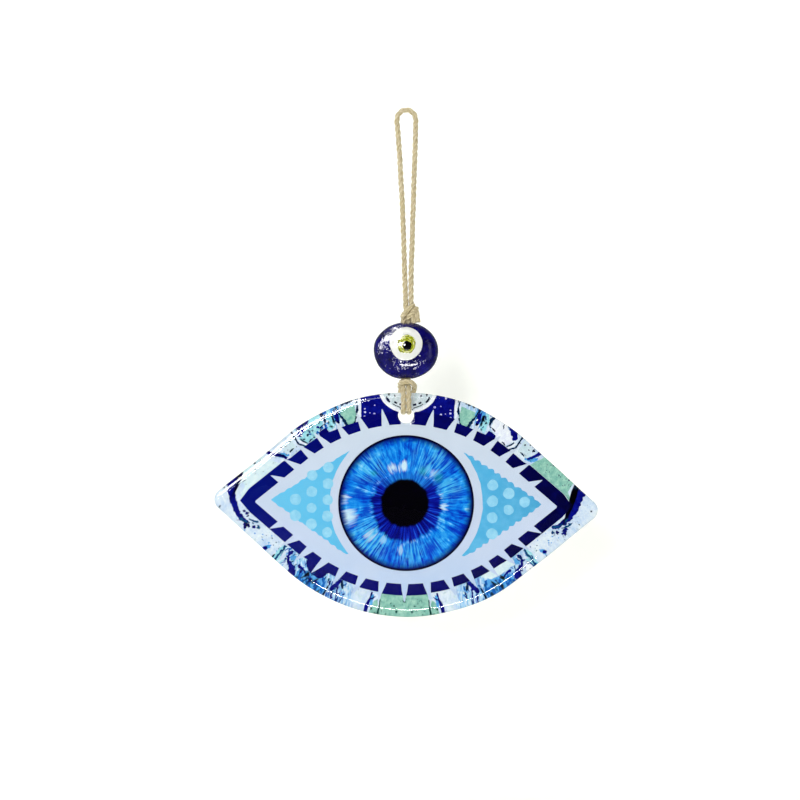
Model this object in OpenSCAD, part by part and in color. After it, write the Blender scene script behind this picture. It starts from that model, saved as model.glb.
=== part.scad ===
// Evil eye ornament: a printed almond-shaped glass plate and a lampwork bead on one length of twine.
// Millimetres. +Z is up, the printed face looks along -Y, and +X is to the right of that face.
// The origin is the inside of the hanging loop's top, where the twine rests on its nail.

/* [Glass plate] */
// Width of the almond-shaped plate, tip to tip
plate_w = 140; // [130:1:150]
// Height of the plate at its middle
plate_h = 82; // [80:0.5:84]
// Radius of the long upper and lower edges
edge_r = 66; // [62:1:72]
// Radius of the rounded tips
tip_r = 4; // [3.5:0.5:5]
// Thickness of the glass alone
glass_t = 3.6; // [3:0.1:3.8]
// Width of the fire-rounded rim round the front face
rim_w = 3; // [2:0.25:3]
// Depth of the fire-rounded rim
rim_depth = 2.4; // [1.5:0.1:2.6]
// Bevel of the glass's back edge
back_bevel = 0.3; // [0.2:0.1:0.5]
// Diameter of the drilled hole that the twine goes through
hole_d = 5.8; // [5.8:0.1:6.4]
// Angle by which the plate hangs clockwise, because its hole is drilled a little off its centre line
plate_tilt = 1.7; // [0:0.1:3]

/* [Print and backing] */
// Thickness of the printed film behind the glass
film_t = 0.3; // [0.2:0.05:0.4]
// Thickness of the white backing sheet
backing_t = 0.5; // [0.3:0.05:0.6]
// Clear border of glass left round the film
film_margin = 1.2; // [1:0.1:2]
// Diameter of the clearance hole in the film and the backing
film_hole_d = 6.2; // [6:0.1:7]

/* [Bead] */
// Width of the flattened bead
bead_w = 23; // [21:0.5:24]
// Height of the bead along its bore
bead_h = 20.4; // [20:0.1:20.6]
// Thickness of the bead, front to back
bead_t = 12; // [11:0.5:13]
// Diameter of the bore that the two strands pass through
bore_d = 4.8; // [4.6:0.1:5.2]
// Diameter of the white dot
white_d = 12.4; // [11:0.2:13]
// Diameter of the yellow-green dot
iris_d = 7; // [6:0.2:8]
// Diameter of the black dot
pupil_d = 3.6; // [3:0.2:4.4]
// Height of the dots above the bead's centre
dot_rise = 2.6; // [2:0.1:3]

/* [Twine] */
// Diameter of the twine
twine_d = 2; // [1.8:0.05:2]

/* [Hidden] */

// Heights on the hanging line, below the nail
plate_top_z = -101.6;
hole_z = -110.1;
bead_z = -86.6;
plate_z = plate_top_z - plate_h / 2;

// Layers of the plate from front to back, centred on the hanging line
plate_t = glass_t + film_t + backing_t;
front_y = -plate_t / 2;
film_y = front_y + glass_t;
backing_y = film_y + film_t;

// Almond outline: the tip circle, the edge circle and the straight stretch that touches both
tip_x = plate_w / 2 - tip_r;
edge_drop = edge_r - plate_h / 2;
side_angle = atan2(edge_drop, tip_x) + acos((edge_r - tip_r) / norm([tip_x, edge_drop]));
tip_steps = 4;
edge_steps = 8;
rim_steps = 4;

// Bead: depth of the dots' pocket, how far the dots stand proud, and the roundness of the pebble
pocket_y = 3.4;
pupil_pocket_y = 4.6;
dot_proud = 0.3;
pebble_power = 2.4;
pebble_steps = 12;
round_fn = 64;

// Knots
knot_centre = [1.3, 0, -73.2];
knot_size = [5.8, 5, 5.6];
tube_sides = 8;

// Hanging loop, from the knot up the left strand, over the nail and down the right strand
loop_left = [
    [-0.1, 0, -70.2], [-0.3, 0, -64], [-0.6, 0, -56], [-0.8, 0, -48], [-1.1, 0, -40],
    [-1.4, 0, -32], [-1.9, 0, -24], [-2.3, 0, -16], [-2.8, 0, -9], [-3.2, 0, -4.5]
];
loop_top = [
    [-3.3, 0, -2.4], [-2.8, 0, -0.7], [-1.6, 0, 0.5], [0.1, 0, 1], [1.8, 0, 0.5], [3, 0, -0.7], [3.5, 0, -2.4]
];
loop_right = [
    [3.5, 0, -4.5], [3.4, 0, -9], [3.2, 0, -16], [2.9, 0, -24], [2.7, 0, -32],
    [2.4, 0, -40], [2.2, 0, -48], [1.9, 0, -56], [1.8, 0, -64], [1.9, 0, -70.2]
];

// Left strand through the bead
bead_strand = [[-1, 0, -75], [-1, 0, -85], [-1, 0, -96.2]];

// Trimmed tails beside the knot
tails = [
    [[1.6, -0.6, -73.4], [3.2, -1.1, -74.3], [4.2, -1.3, -75]],
    [[0.4, 1.2, -73.4], [-1, 1.9, -74.3], [-1.6, 2.1, -74.9]]
];

// Left half of the lark's head: down the front, through the hole, up the back, and over the front strands
hitch_left = [
    [-1, 0, -97.1], [-1, -0.8, -98.6], [-1.05, -1.9, -100.2], [-1.05, -2.8, -101.8],
    [-1.05, -3.35, -104], [-1.05, -3.35, -106.8], [-1.05, -3, -108], [-1.05, -1.8, -108.75],
    [-1.05, 1.8, -108.75], [-1.05, 3, -108], [-1.1, 3.35, -106.8], [-1.6, 3.35, -104.2],
    [-2.4, 3.3, -101.6], [-2.8, 2.6, -100.2], [-3.1, 1.2, -99.4], [-3.1, -0.6, -99.1],
    [-2.9, -1.9, -98.8], [-1.9, -3, -98.6], [0, -3.3, -98.5]
];

function unit(v) = v / norm(v);
function mirrored(route) = [for (i = [len(route) - 1 : -1 : 0]) [-route[i].x, route[i].y, route[i].z]];
function all_but_first(list) = [for (i = [1 : len(list) - 1]) list[i]];

// Points on an arc of a circle in the plate's plane
function arc(centre, r, from, to, steps) =
    [for (k = [0 : steps]) let (a = from + (to - from) * k / steps) centre + r * [cos(a), sin(a)]];

// Almond outline, drawn in by inset all round
function quarter(inset) = concat(
    arc([tip_x, 0], tip_r - inset, 0, side_angle, tip_steps),
    arc([0, -edge_drop], edge_r - inset, side_angle, 90, edge_steps)
);
function upper_half(quarter) = concat(
    quarter,
    [for (i = [len(quarter) - 2 : -1 : 0]) [-quarter[i].x, quarter[i].y]]
);
function whole(upper) = concat(
    upper,
    [for (i = [len(upper) - 2 : -1 : 1]) [upper[i].x, -upper[i].y]]
);
function almond(inset) = whole(upper_half(quarter(inset)));

// Inset and depth of each outline of the glass: a quarter of an ellipse, the flank and the back bevel
rim = [for (k = [0 : rim_steps])
    let (a = 90 * k / rim_steps) [rim_w * (1 - sin(a)), front_y + rim_depth * (1 - cos(a))]];
flank = [[0, film_y - back_bevel], [back_bevel, film_y]];
glass_levels = concat(rim, flank);

// Sideways direction of a tube, carried along its route without twist
function tangent(route, i) = unit(route[min(i + 1, len(route) - 1)] - route[max(i - 1, 0)]);
function carried(route, i, across) =
    let (t = tangent(route, i), a = unit(across - (across * t) * t))
    i == len(route) - 1 ? [a] : concat([a], carried(route, i + 1, a));
function ring(centre, along, across, r) =
    [for (k = [0 : tube_sides - 1])
        let (a = 360 * k / tube_sides) centre + r * (cos(a) * across + sin(a) * cross(along, across))];

// Joins neighbouring closed outlines of the same number of points into walls of triangles
function walls(levels, count) = [
    for (i = [0 : levels - 2])
        for (k = [0 : count - 1])
            let (next = (k + 1) % count, a = i * count + k, b = i * count + next)
                each [[a, b, b + count], [a, b + count, a + count]]
];
function first_cap(count) = [for (k = [count - 1 : -1 : 0]) k];
function last_cap(levels, count) = [for (k = [0 : count - 1]) (levels - 1) * count + k];

// Solid through closed outlines that turn anticlockwise as seen from beyond the last one
module loft(points, levels, count) {
    polyhedron(
        [for (level = points) each level],
        [for (face = concat([first_cap(count)], [last_cap(levels, count)], walls(levels, count)))
            [for (i = [len(face) - 1 : -1 : 0]) face[i]]]
    );
}

module tube(route, d) {
    sides = carried(route, 0, [0, 1, 0.01]);
    rings = [for (i = [0 : len(route) - 1]) ring(route[i], tangent(route, i), sides[i], d / 2)];
    loft(rings, len(route), tube_sides);
}

module on_plate() {
    translate([0, 0, plate_z])
        rotate([0, plate_tilt, 0])
            children();
}

module plate_hole(d) {
    translate([0, plate_t, hole_z])
        rotate([90, 0, 0])
            cylinder(h = 2 * plate_t, d = d, $fn = round_fn);
}

module flat_layer(y, t) {
    difference() {
        on_plate()
            translate([0, y + t, 0])
                rotate([90, 0, 0])
                    linear_extrude(height = t)
                        polygon(almond(film_margin));
        plate_hole(film_hole_d);
    }
}

module glass_plate() {
    outlines = [for (level = glass_levels) [for (p = almond(level[0])) [p.x, level[1], p.y]]];
    color("lightcyan")
        difference() {
            on_plate() loft(outlines, len(outlines), len(outlines[0]));
            plate_hole(hole_d);
        }
}

module printed_film() {
    color("royalblue") flat_layer(film_y, film_t);
}

module backing_sheet() {
    color("white") flat_layer(backing_y, backing_t);
}

// Pebble shape of the bead, grown all over by grow
module pebble(grow) {
    r = bead_h / 2 + grow;
    half_t = bead_t / 2 + grow;
    rise = [for (k = [0 : pebble_steps])
        let (a = 90 * k / pebble_steps)
            [r * pow(sin(a), 2 / pebble_power), half_t * pow(cos(a), 2 / pebble_power)]];
    fall = [for (k = [pebble_steps - 1 : -1 : 0]) [rise[k].x, -rise[k].y]];
    translate([0, 0, bead_z])
        rotate([90, 0, 0])
            scale([bead_w / bead_h, 1, 1])
                rotate_extrude($fn = round_fn)
                    polygon(concat(rise, fall));
}

// Round space for a dot, from depth y out through the bead's front
module dot_space(d, y) {
    translate([0, -y, bead_z + dot_rise])
        rotate([90, 0, 0])
            cylinder(h = bead_t, d = d, $fn = round_fn);
}

module bead_body() {
    color("midnightblue")
        difference() {
            pebble(0);
            dot_space(white_d, pocket_y);
            translate([0, 0, bead_z - bead_h])
                cylinder(h = 2 * bead_h, d = bore_d, $fn = round_fn);
        }
}

module bead_white_dot() {
    color("ivory")
        difference() {
            intersection() {
                pebble(dot_proud);
                dot_space(white_d, pocket_y);
            }
            dot_space(iris_d, pupil_pocket_y);
        }
}

module bead_iris_dot() {
    color("yellowgreen")
        difference() {
            intersection() {
                pebble(dot_proud);
                dot_space(iris_d, pupil_pocket_y);
            }
            dot_space(pupil_d, pupil_pocket_y);
        }
}

module bead_pupil_dot() {
    color("black")
        intersection() {
            pebble(dot_proud);
            dot_space(pupil_d, pupil_pocket_y);
        }
}

module twine_hanging_loop() {
    color("burlywood") tube(concat(loop_left, loop_top, loop_right), twine_d);
}

module twine_upper_knot() {
    color("burlywood")
        translate(knot_centre)
            scale(knot_size)
                sphere(d = 1, $fn = round_fn);
}

module twine_cut_ends() {
    color("burlywood")
        for (tail = tails)
            tube(tail, twine_d * 0.9);
}

module twine_bead_strands() {
    color("burlywood")
        for (strand = [bead_strand, mirrored(bead_strand)])
            tube(strand, twine_d);
}

module twine_hitch() {
    color("burlywood") tube(concat(hitch_left, all_but_first(mirrored(hitch_left))), twine_d);
}

glass_plate();
printed_film();
backing_sheet();
bead_body();
bead_white_dot();
bead_iris_dot();
bead_pupil_dot();
twine_hanging_loop();
twine_upper_knot();
twine_cut_ends();
twine_bead_strands();
twine_hitch();
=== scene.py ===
import math
import random

import bmesh
import bpy
from mathutils import Matrix, Vector, noise


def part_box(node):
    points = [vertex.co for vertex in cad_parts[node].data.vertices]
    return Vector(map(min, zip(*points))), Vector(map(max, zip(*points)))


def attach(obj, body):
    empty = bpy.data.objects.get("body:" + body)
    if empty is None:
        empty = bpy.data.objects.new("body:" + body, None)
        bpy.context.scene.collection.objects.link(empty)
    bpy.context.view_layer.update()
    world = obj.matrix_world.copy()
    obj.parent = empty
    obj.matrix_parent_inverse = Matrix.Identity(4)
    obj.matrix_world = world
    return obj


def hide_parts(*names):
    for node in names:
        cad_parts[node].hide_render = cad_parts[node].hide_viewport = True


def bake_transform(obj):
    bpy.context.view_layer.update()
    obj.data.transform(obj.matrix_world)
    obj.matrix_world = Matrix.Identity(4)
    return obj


# Evil eye ornament: a printed glass plate and a lampwork bead on one length of twine.
# Lengths in this script are millimetres in the frame of the CAD model; SCALE turns them into metres.
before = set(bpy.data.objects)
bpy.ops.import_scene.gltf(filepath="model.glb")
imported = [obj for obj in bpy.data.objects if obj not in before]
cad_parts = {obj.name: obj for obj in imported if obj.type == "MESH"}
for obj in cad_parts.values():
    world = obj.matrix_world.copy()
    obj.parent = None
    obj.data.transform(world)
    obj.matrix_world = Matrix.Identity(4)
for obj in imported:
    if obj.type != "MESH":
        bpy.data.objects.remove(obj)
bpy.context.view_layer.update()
SCALE = 0.001


def node_box(node):
    low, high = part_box(node)
    return low / SCALE, high / SCALE


# ---------------------------------------------------------------- sizes

TWINE_D = 2.0

# The plate hangs clockwise by this angle, and the picture's centre is a little above its own
PLATE_TILT = math.radians(1.7)
PLATE_RISE = 0.6
PLATE_W, PLATE_H, EDGE_R, TIP_R = 140.0, 82.0, 66.0, 4.0
RIM_W, RIM_DEPTH = 3.0, 2.4
FILM_MARGIN = 1.2
HOLE_R, HOLE_FLARE, FILM_HOLE_R = 2.9, 0.9, 3.1
EDGE_WOBBLE = 0.22

glass_low, _ = node_box("glass_plate")
film_low, film_high = node_box("printed_film")
backing_low, backing_high = node_box("backing_sheet")
bead_low, bead_high = node_box("bead_body")
FRONT_Y, FILM_Y, FILM_BACK_Y, BACK_Y = glass_low.y, film_low.y, film_high.y, backing_high.y
PLATE_Z = glass_low.z + PLATE_H / 2
IRIS_Z = PLATE_Z + PLATE_RISE
HOLE_Z = PLATE_Z + PLATE_H / 2 - 8.5
BEAD_Z = (bead_low.z + bead_high.z) / 2

# ---------------------------------------------------------------- camera, light and stage

VIEW_WIDTH = 290.9
CAMERA_DISTANCE = 800.0
CAMERA_LENS = 99.0
AIM = Vector((-2.2, 0, IRIS_Z + 37.5))


def light(name, size, power, place, aim, colour=(1, 1, 1), height=None, card=False):
    """A soft lamp. A card is only mirrored in glossy surfaces and lights nothing."""
    data = bpy.data.lights.new(name, "AREA")
    data.energy = power
    data.color = colour
    data.size = size * SCALE
    if height:
        data.shape = "RECTANGLE"
        data.size_y = height * SCALE
    lamp = bpy.data.objects.new(name, data)
    bpy.context.scene.collection.objects.link(lamp)
    lamp.location = Vector(place) * SCALE
    lamp.rotation_euler = (Vector(aim) - Vector(place)).to_track_quat("-Z", "Y").to_euler()
    if card:
        lamp.visible_diffuse = False
        lamp.visible_transmission = False


def camera():
    data = bpy.data.cameras.new("camera")
    data.lens = CAMERA_LENS
    data.sensor_width = CAMERA_LENS * VIEW_WIDTH / CAMERA_DISTANCE
    data.clip_start = 0.01
    data.clip_end = 20
    cam = bpy.data.objects.new("camera", data)
    bpy.context.scene.collection.objects.link(cam)
    cam.location = (AIM + Vector((0, -CAMERA_DISTANCE, 0))) * SCALE
    cam.rotation_euler = (math.radians(90), 0, 0)
    bpy.context.scene.camera = cam


WALL_Y = 74.0
WALL_GLOW = 0.17
FLOOR_Z = -278.0


def stage_material():
    """White paint whose back can't be seen, and which shows only dimly in mirrors."""
    paint = Paint("studio_white", roughness=0.9)
    grain = paint.noise(0.02, 2)
    colour = paint.ramp(grain, [(0.3, (249, 250, 245)), (0.7, (252, 253, 248))])
    path = paint.node("ShaderNodeLightPath").outputs
    mirrored = paint.calc("SUBTRACT", path["Is Glossy Ray"], path["Is Transmission Ray"], clamp=True)
    dim = paint.calc("MULTIPLY", mirrored, 0.93)
    paint.base(paint.mix(dim, colour, (0, 0, 0)))
    paint.shader.inputs["Emission Color"].default_value = (1.0, 1.0, 0.98, 1)
    glow = paint.calc("MULTIPLY_ADD", dim, -WALL_GLOW, WALL_GLOW)
    paint.tree.links.new(glow, paint.shader.inputs["Emission Strength"])
    paint.clear_where(paint.node("ShaderNodeNewGeometry").outputs["Backfacing"])
    return paint.material


def backdrop():
    """A pale floor that curves up into a wall behind the ornament; the wall shows from its front only."""
    half, front, cove, steps = 2500.0, -2500.0, 60.0, 12
    profile = [(front, FLOOR_Z)]
    for k in range(steps + 1):
        a = math.radians(90 * k / steps)
        profile.append((WALL_Y - cove + cove * math.sin(a), FLOOR_Z + cove - cove * math.cos(a)))
    profile.append((WALL_Y, 2500.0))
    verts = [(x, y, z) for y, z in profile for x in (-half, half)]
    faces = [(2 * i, 2 * i + 1, 2 * i + 3, 2 * i + 2) for i in range(len(profile) - 1)]
    piece = mesh_object("studio_backdrop", verts, faces, smooth=True)
    piece.data.materials.append(stage_material())


def room():
    """Even light all round, which glossy surfaces mirror only faintly."""
    world = bpy.data.worlds.new("studio")
    world.use_nodes = True
    tree = world.node_tree
    lit = tree.nodes["Background"]
    lit.inputs["Color"].default_value = (0.97, 0.985, 1.0, 1)
    lit.inputs["Strength"].default_value = 0.28
    mirrored = tree.nodes.new("ShaderNodeBackground")
    mirrored.inputs["Strength"].default_value = 0.03
    path = tree.nodes.new("ShaderNodeLightPath")
    reflected = tree.nodes.new("ShaderNodeMath")
    reflected.operation = "SUBTRACT"
    reflected.use_clamp = True
    tree.links.new(path.outputs["Is Glossy Ray"], reflected.inputs[0])
    tree.links.new(path.outputs["Is Transmission Ray"], reflected.inputs[1])
    both = tree.nodes.new("ShaderNodeMixShader")
    tree.links.new(reflected.outputs[0], both.inputs[0])
    tree.links.new(lit.outputs[0], both.inputs[1])
    tree.links.new(mirrored.outputs[0], both.inputs[2])
    tree.links.new(both.outputs[0], tree.nodes["World Output"].inputs[0])
    bpy.context.scene.world = world


def lighting():
    room()
    middle = (0, 0, IRIS_Z + 30)
    light("key", 240, 6.4, (-330, -1450, 200), middle)
    light("top_softbox", 900, 2.2, (-250, -420, 620), middle, height=260)
    light("left_softbox", 200, 0.5, (-760, -420, -60), middle, height=700)
    light("right_softbox", 260, 0.5, (760, -520, -60), middle, height=700)
    light("rim_card", 900, 30.0, (-600, -820, 580), middle, height=400, card=True)
    light("left_card", 40, 3.4, (-620, -300, 100), middle, height=360, card=True)
    light("top_card", 420, 2.2, (-220, -40, 560), (0, 0, BEAD_Z), height=40, card=True)
    light("low_card", 210, 0.9, (20, -330, -262), (0, 0, BEAD_Z), height=26, card=True)


# ---------------------------------------------------------------- meshes


def mesh_object(name, verts, faces, smooth=True):
    mesh = bpy.data.meshes.new(name)
    mesh.from_pydata([Vector(v) * SCALE for v in verts], [], faces)
    mesh.validate()
    if smooth:
        mesh.polygons.foreach_set("use_smooth", [True] * len(mesh.polygons))
    piece = bpy.data.objects.new(name, mesh)
    bpy.context.scene.collection.objects.link(piece)
    return piece


def finish_piece(piece, body, material, replaces=()):
    piece.data.materials.clear()
    piece.data.materials.append(material)
    if body:
        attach(piece, body)
    if replaces:
        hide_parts(*replaces)
    return piece


def apply_modifiers(piece):
    graph = bpy.context.evaluated_depsgraph_get()
    mesh = bpy.data.meshes.new_from_object(piece.evaluated_get(graph))
    old = piece.data
    piece.modifiers.clear()
    piece.data = mesh
    bpy.data.meshes.remove(old)


def cut(piece, cutters):
    """Cuts the cutter objects out of piece and removes them."""
    for cutter in cutters:
        step = piece.modifiers.new("cut", "BOOLEAN")
        step.operation = "DIFFERENCE"
        step.solver = "EXACT"
        step.object = cutter
    bpy.context.view_layer.update()
    apply_modifiers(piece)
    for cutter in cutters:
        bpy.data.objects.remove(cutter)


def smooth_by_angle(piece, degrees):
    limit = math.radians(degrees)
    mesh = piece.data
    mesh.polygons.foreach_set("use_smooth", [True] * len(mesh.polygons))
    mesh.update()
    edge_faces = {}
    for polygon in mesh.polygons:
        for key in polygon.edge_keys:
            edge_faces.setdefault(key, []).append(polygon.normal.copy())
    sharp = []
    for edge in mesh.edges:
        normals = edge_faces.get(tuple(sorted(edge.vertices)), [])
        sharp.append(len(normals) == 2 and normals[0].angle(normals[1], 0) > limit)
    attribute = mesh.attributes.get("sharp_edge") or mesh.attributes.new("sharp_edge", "BOOLEAN", "EDGE")
    attribute.data.foreach_set("value", sharp)


def drill(x, z, profile, sides=96):
    """A cutter along Y whose radius follows (y, radius) pairs."""
    around = [math.tau * k / sides for k in range(sides)]
    verts = [(x + r * math.cos(a), y, z + r * math.sin(a)) for y, r in profile for a in around]
    faces = [tuple(range(sides)), tuple(range(len(verts) - 1, len(verts) - sides - 1, -1))]
    for level in range(len(profile) - 1):
        for k in range(sides):
            a, b = level * sides + k, level * sides + (k + 1) % sides
            faces.append((a, a + sides, b + sides, b))
    return mesh_object("cutter", verts, faces)


def film_hole():
    """A cutter for the hole in the film and the backing."""
    return drill(0, HOLE_Z, [(FRONT_Y - 2, FILM_HOLE_R), (BACK_Y + 2, FILM_HOLE_R)], 64)


# ---------------------------------------------------------------- plate geometry


def plate_point(u, v, y):
    """A point u to the right of the plate's middle and v above it, turned with the plate."""
    x = u * math.cos(PLATE_TILT) + v * math.sin(PLATE_TILT)
    z = -u * math.sin(PLATE_TILT) + v * math.cos(PLATE_TILT)
    return Vector((x, y, PLATE_Z + z))


class Almond:
    """An outline of two long arcs with straight flanks and rounded tips, measured from its top."""

    def __init__(self, width, height, edge_r, tip_r):
        self.tip_x = width / 2 - tip_r
        self.drop = edge_r - height / 2
        self.edge_r, self.tip_r = edge_r, tip_r
        span = math.hypot(self.tip_x, self.drop)
        self.side = math.atan2(self.drop, self.tip_x) + math.acos((edge_r - tip_r) / span)
        self.arc_length = edge_r * (math.pi / 2 - self.side)
        c, s = math.cos(self.side), math.sin(self.side)
        self.arc_end = (edge_r * c, -self.drop + edge_r * s)
        self.tip_start = (self.tip_x + tip_r * c, tip_r * s)
        self.flank = math.dist(self.arc_end, self.tip_start)
        self.length = self.arc_length + self.flank

    def at(self, s, out=0.0):
        """The point s along the upper right edge from the top, and out beyond it."""
        if s <= self.arc_length:
            a = math.pi / 2 - s / self.edge_r
            r = self.edge_r + out
            return (r * math.cos(a), -self.drop + r * math.sin(a))
        c, n = math.cos(self.side), math.sin(self.side)
        if s <= self.length:
            t = (s - self.arc_length) / self.flank
            x = self.arc_end[0] + t * (self.tip_start[0] - self.arc_end[0])
            z = self.arc_end[1] + t * (self.tip_start[1] - self.arc_end[1])
            return (x + out * c, z + out * n)
        a = max(0.0, self.side - (s - self.length) / self.tip_r)
        r = self.tip_r + out
        return (self.tip_x + r * math.cos(a), r * math.sin(a))

    def locate(self, u, v):
        """Where along the outline a point of the upper right quarter lies, and how far out."""
        c, n = math.cos(self.side), math.sin(self.side)
        du, dv = u - self.arc_end[0], v - self.arc_end[1]
        along = du * n - dv * c
        if along <= 0:
            w = v + self.drop
            return self.edge_r * math.atan2(u, w), math.hypot(u, w) - self.edge_r
        if along <= self.flank:
            return self.arc_length + along, du * c + dv * n
        a = math.atan2(v, u - self.tip_x)
        return self.length + (self.side - a) * self.tip_r, math.hypot(u - self.tip_x, v) - self.tip_r

    def trimmed(self, u, v, inset):
        """The point itself, or the nearest one that is inset from the outline if it lies further out."""
        s, out = self.locate(abs(u), abs(v))
        if out <= -inset:
            return u, v
        x, z = self.at(s, -inset)
        return math.copysign(x, u), math.copysign(z, v)

    def outline(self, inset=0.0, arc_steps=40, flank_steps=8, tip_steps=10):
        """The whole outline, anticlockwise from the right tip."""
        stations = [self.length + self.side * self.tip_r * (1 - k / tip_steps) for k in range(tip_steps)]
        stations += [self.arc_length + self.flank * (1 - k / flank_steps) for k in range(flank_steps)]
        stations += [self.arc_length * (1 - k / arc_steps) for k in range(arc_steps + 1)]
        quarter = [self.at(s, -inset) for s in stations]
        upper = quarter + [(-u, v) for u, v in reversed(quarter[:-1])]
        return upper + [(u, -v) for u, v in reversed(upper[1:-1])]


plate_shape = Almond(PLATE_W, PLATE_H, EDGE_R, TIP_R)


def wobble(u, v):
    """The small unevenness of a hand-finished edge, as a shift away from the middle."""
    return EDGE_WOBBLE * noise.noise(Vector((u * 0.045, v * 0.06, 3.1))) * 2


def loft(levels):
    """Closed solid through outlines of (x, y, z) points that all have the same number of points."""
    count = len(levels[0])
    verts = [p for level in levels for p in level]
    faces = [tuple(range(count))]
    for i in range(len(levels) - 1):
        for k in range(count):
            n = (k + 1) % count
            a, b = i * count + k, i * count + n
            faces.append((a, a + count, b + count, b))
    top = (len(levels) - 1) * count
    faces.append(tuple(range(top + count - 1, top - 1, -1)))
    return verts, faces


def glass_plate():
    rim_steps, flare_steps = 12, 6
    profile, levels = [], []
    for k in range(rim_steps + 1):
        a = math.radians(90 * k / rim_steps)
        profile.append((RIM_W * (1 - math.sin(a)), FRONT_Y + RIM_DEPTH * (1 - math.cos(a))))
    profile += [(0.0, FILM_Y - 0.6), (0.12, FILM_Y - 0.25), (0.4, FILM_Y)]
    for inset, y in profile:
        level = []
        for u, v in plate_shape.outline(inset):
            grow = 1 + (wobble(u, v) - EDGE_WOBBLE) / math.hypot(u, v)
            level.append(plate_point(u * grow, v * grow, y))
        levels.append(level)
    piece = mesh_object("glass_plate_polished", *loft(levels))
    bore = [(FRONT_Y - 2, HOLE_R + HOLE_FLARE)]
    for k in range(flare_steps + 1):
        a = math.radians(90 * k / flare_steps)
        bore.append((FRONT_Y + HOLE_FLARE * (1 - math.cos(a)), HOLE_R + HOLE_FLARE * (1 - math.sin(a))))
    cut(piece, [drill(0, HOLE_Z, bore + [(FILM_Y + 2, HOLE_R)])])
    smooth_by_angle(piece, 35)
    finish_piece(piece, "plate", clear_glass(), ["glass_plate"])


PRINT_TILT = math.radians(1.0)
LAYER_STEP = 0.016


def print_point(u, v, y):
    """A point of the picture, which is turned a little from the plate and trimmed at the film's edge."""
    turn = PLATE_TILT - PRINT_TILT
    pu = u * math.cos(turn) - v * math.sin(turn)
    pv = u * math.sin(turn) + v * math.cos(turn) + PLATE_RISE
    return plate_point(*plate_shape.trimmed(pu, pv, FILM_MARGIN + 0.05), y)


def ink(name, outlines, layer, material, hole=False, back=None, trimmed=True):
    """Flat patches of one ink. Layer 0 lies on the film, and higher layers lie nearer the glass."""
    front = FILM_Y + 0.26 - LAYER_STEP * layer
    back = back or front + 0.012
    place = print_point if trimmed else plate_point
    verts, faces = [], []
    for outline in outlines:
        part_verts, part_faces = loft([[place(u, v, y) for u, v in outline] for y in (front, back)])
        start = len(verts)
        verts += part_verts
        faces += [tuple(i + start for i in face) for face in part_faces]
    piece = mesh_object(name, verts, faces, smooth=False)
    if hole:
        cut(piece, [film_hole()])
    return finish_piece(piece, "plate", material)


# ---------------------------------------------------------------- materials


def linear(colour):
    """A colour given as 0-255 display values, as the linear values a shader takes."""
    def one(c):
        c /= 255
        return c / 12.92 if c <= 0.04045 else ((c + 0.055) / 1.055) ** 2.4
    return (*[one(c) for c in colour], 1.0)


def grey(value):
    return (value, value, value, 1)


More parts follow.
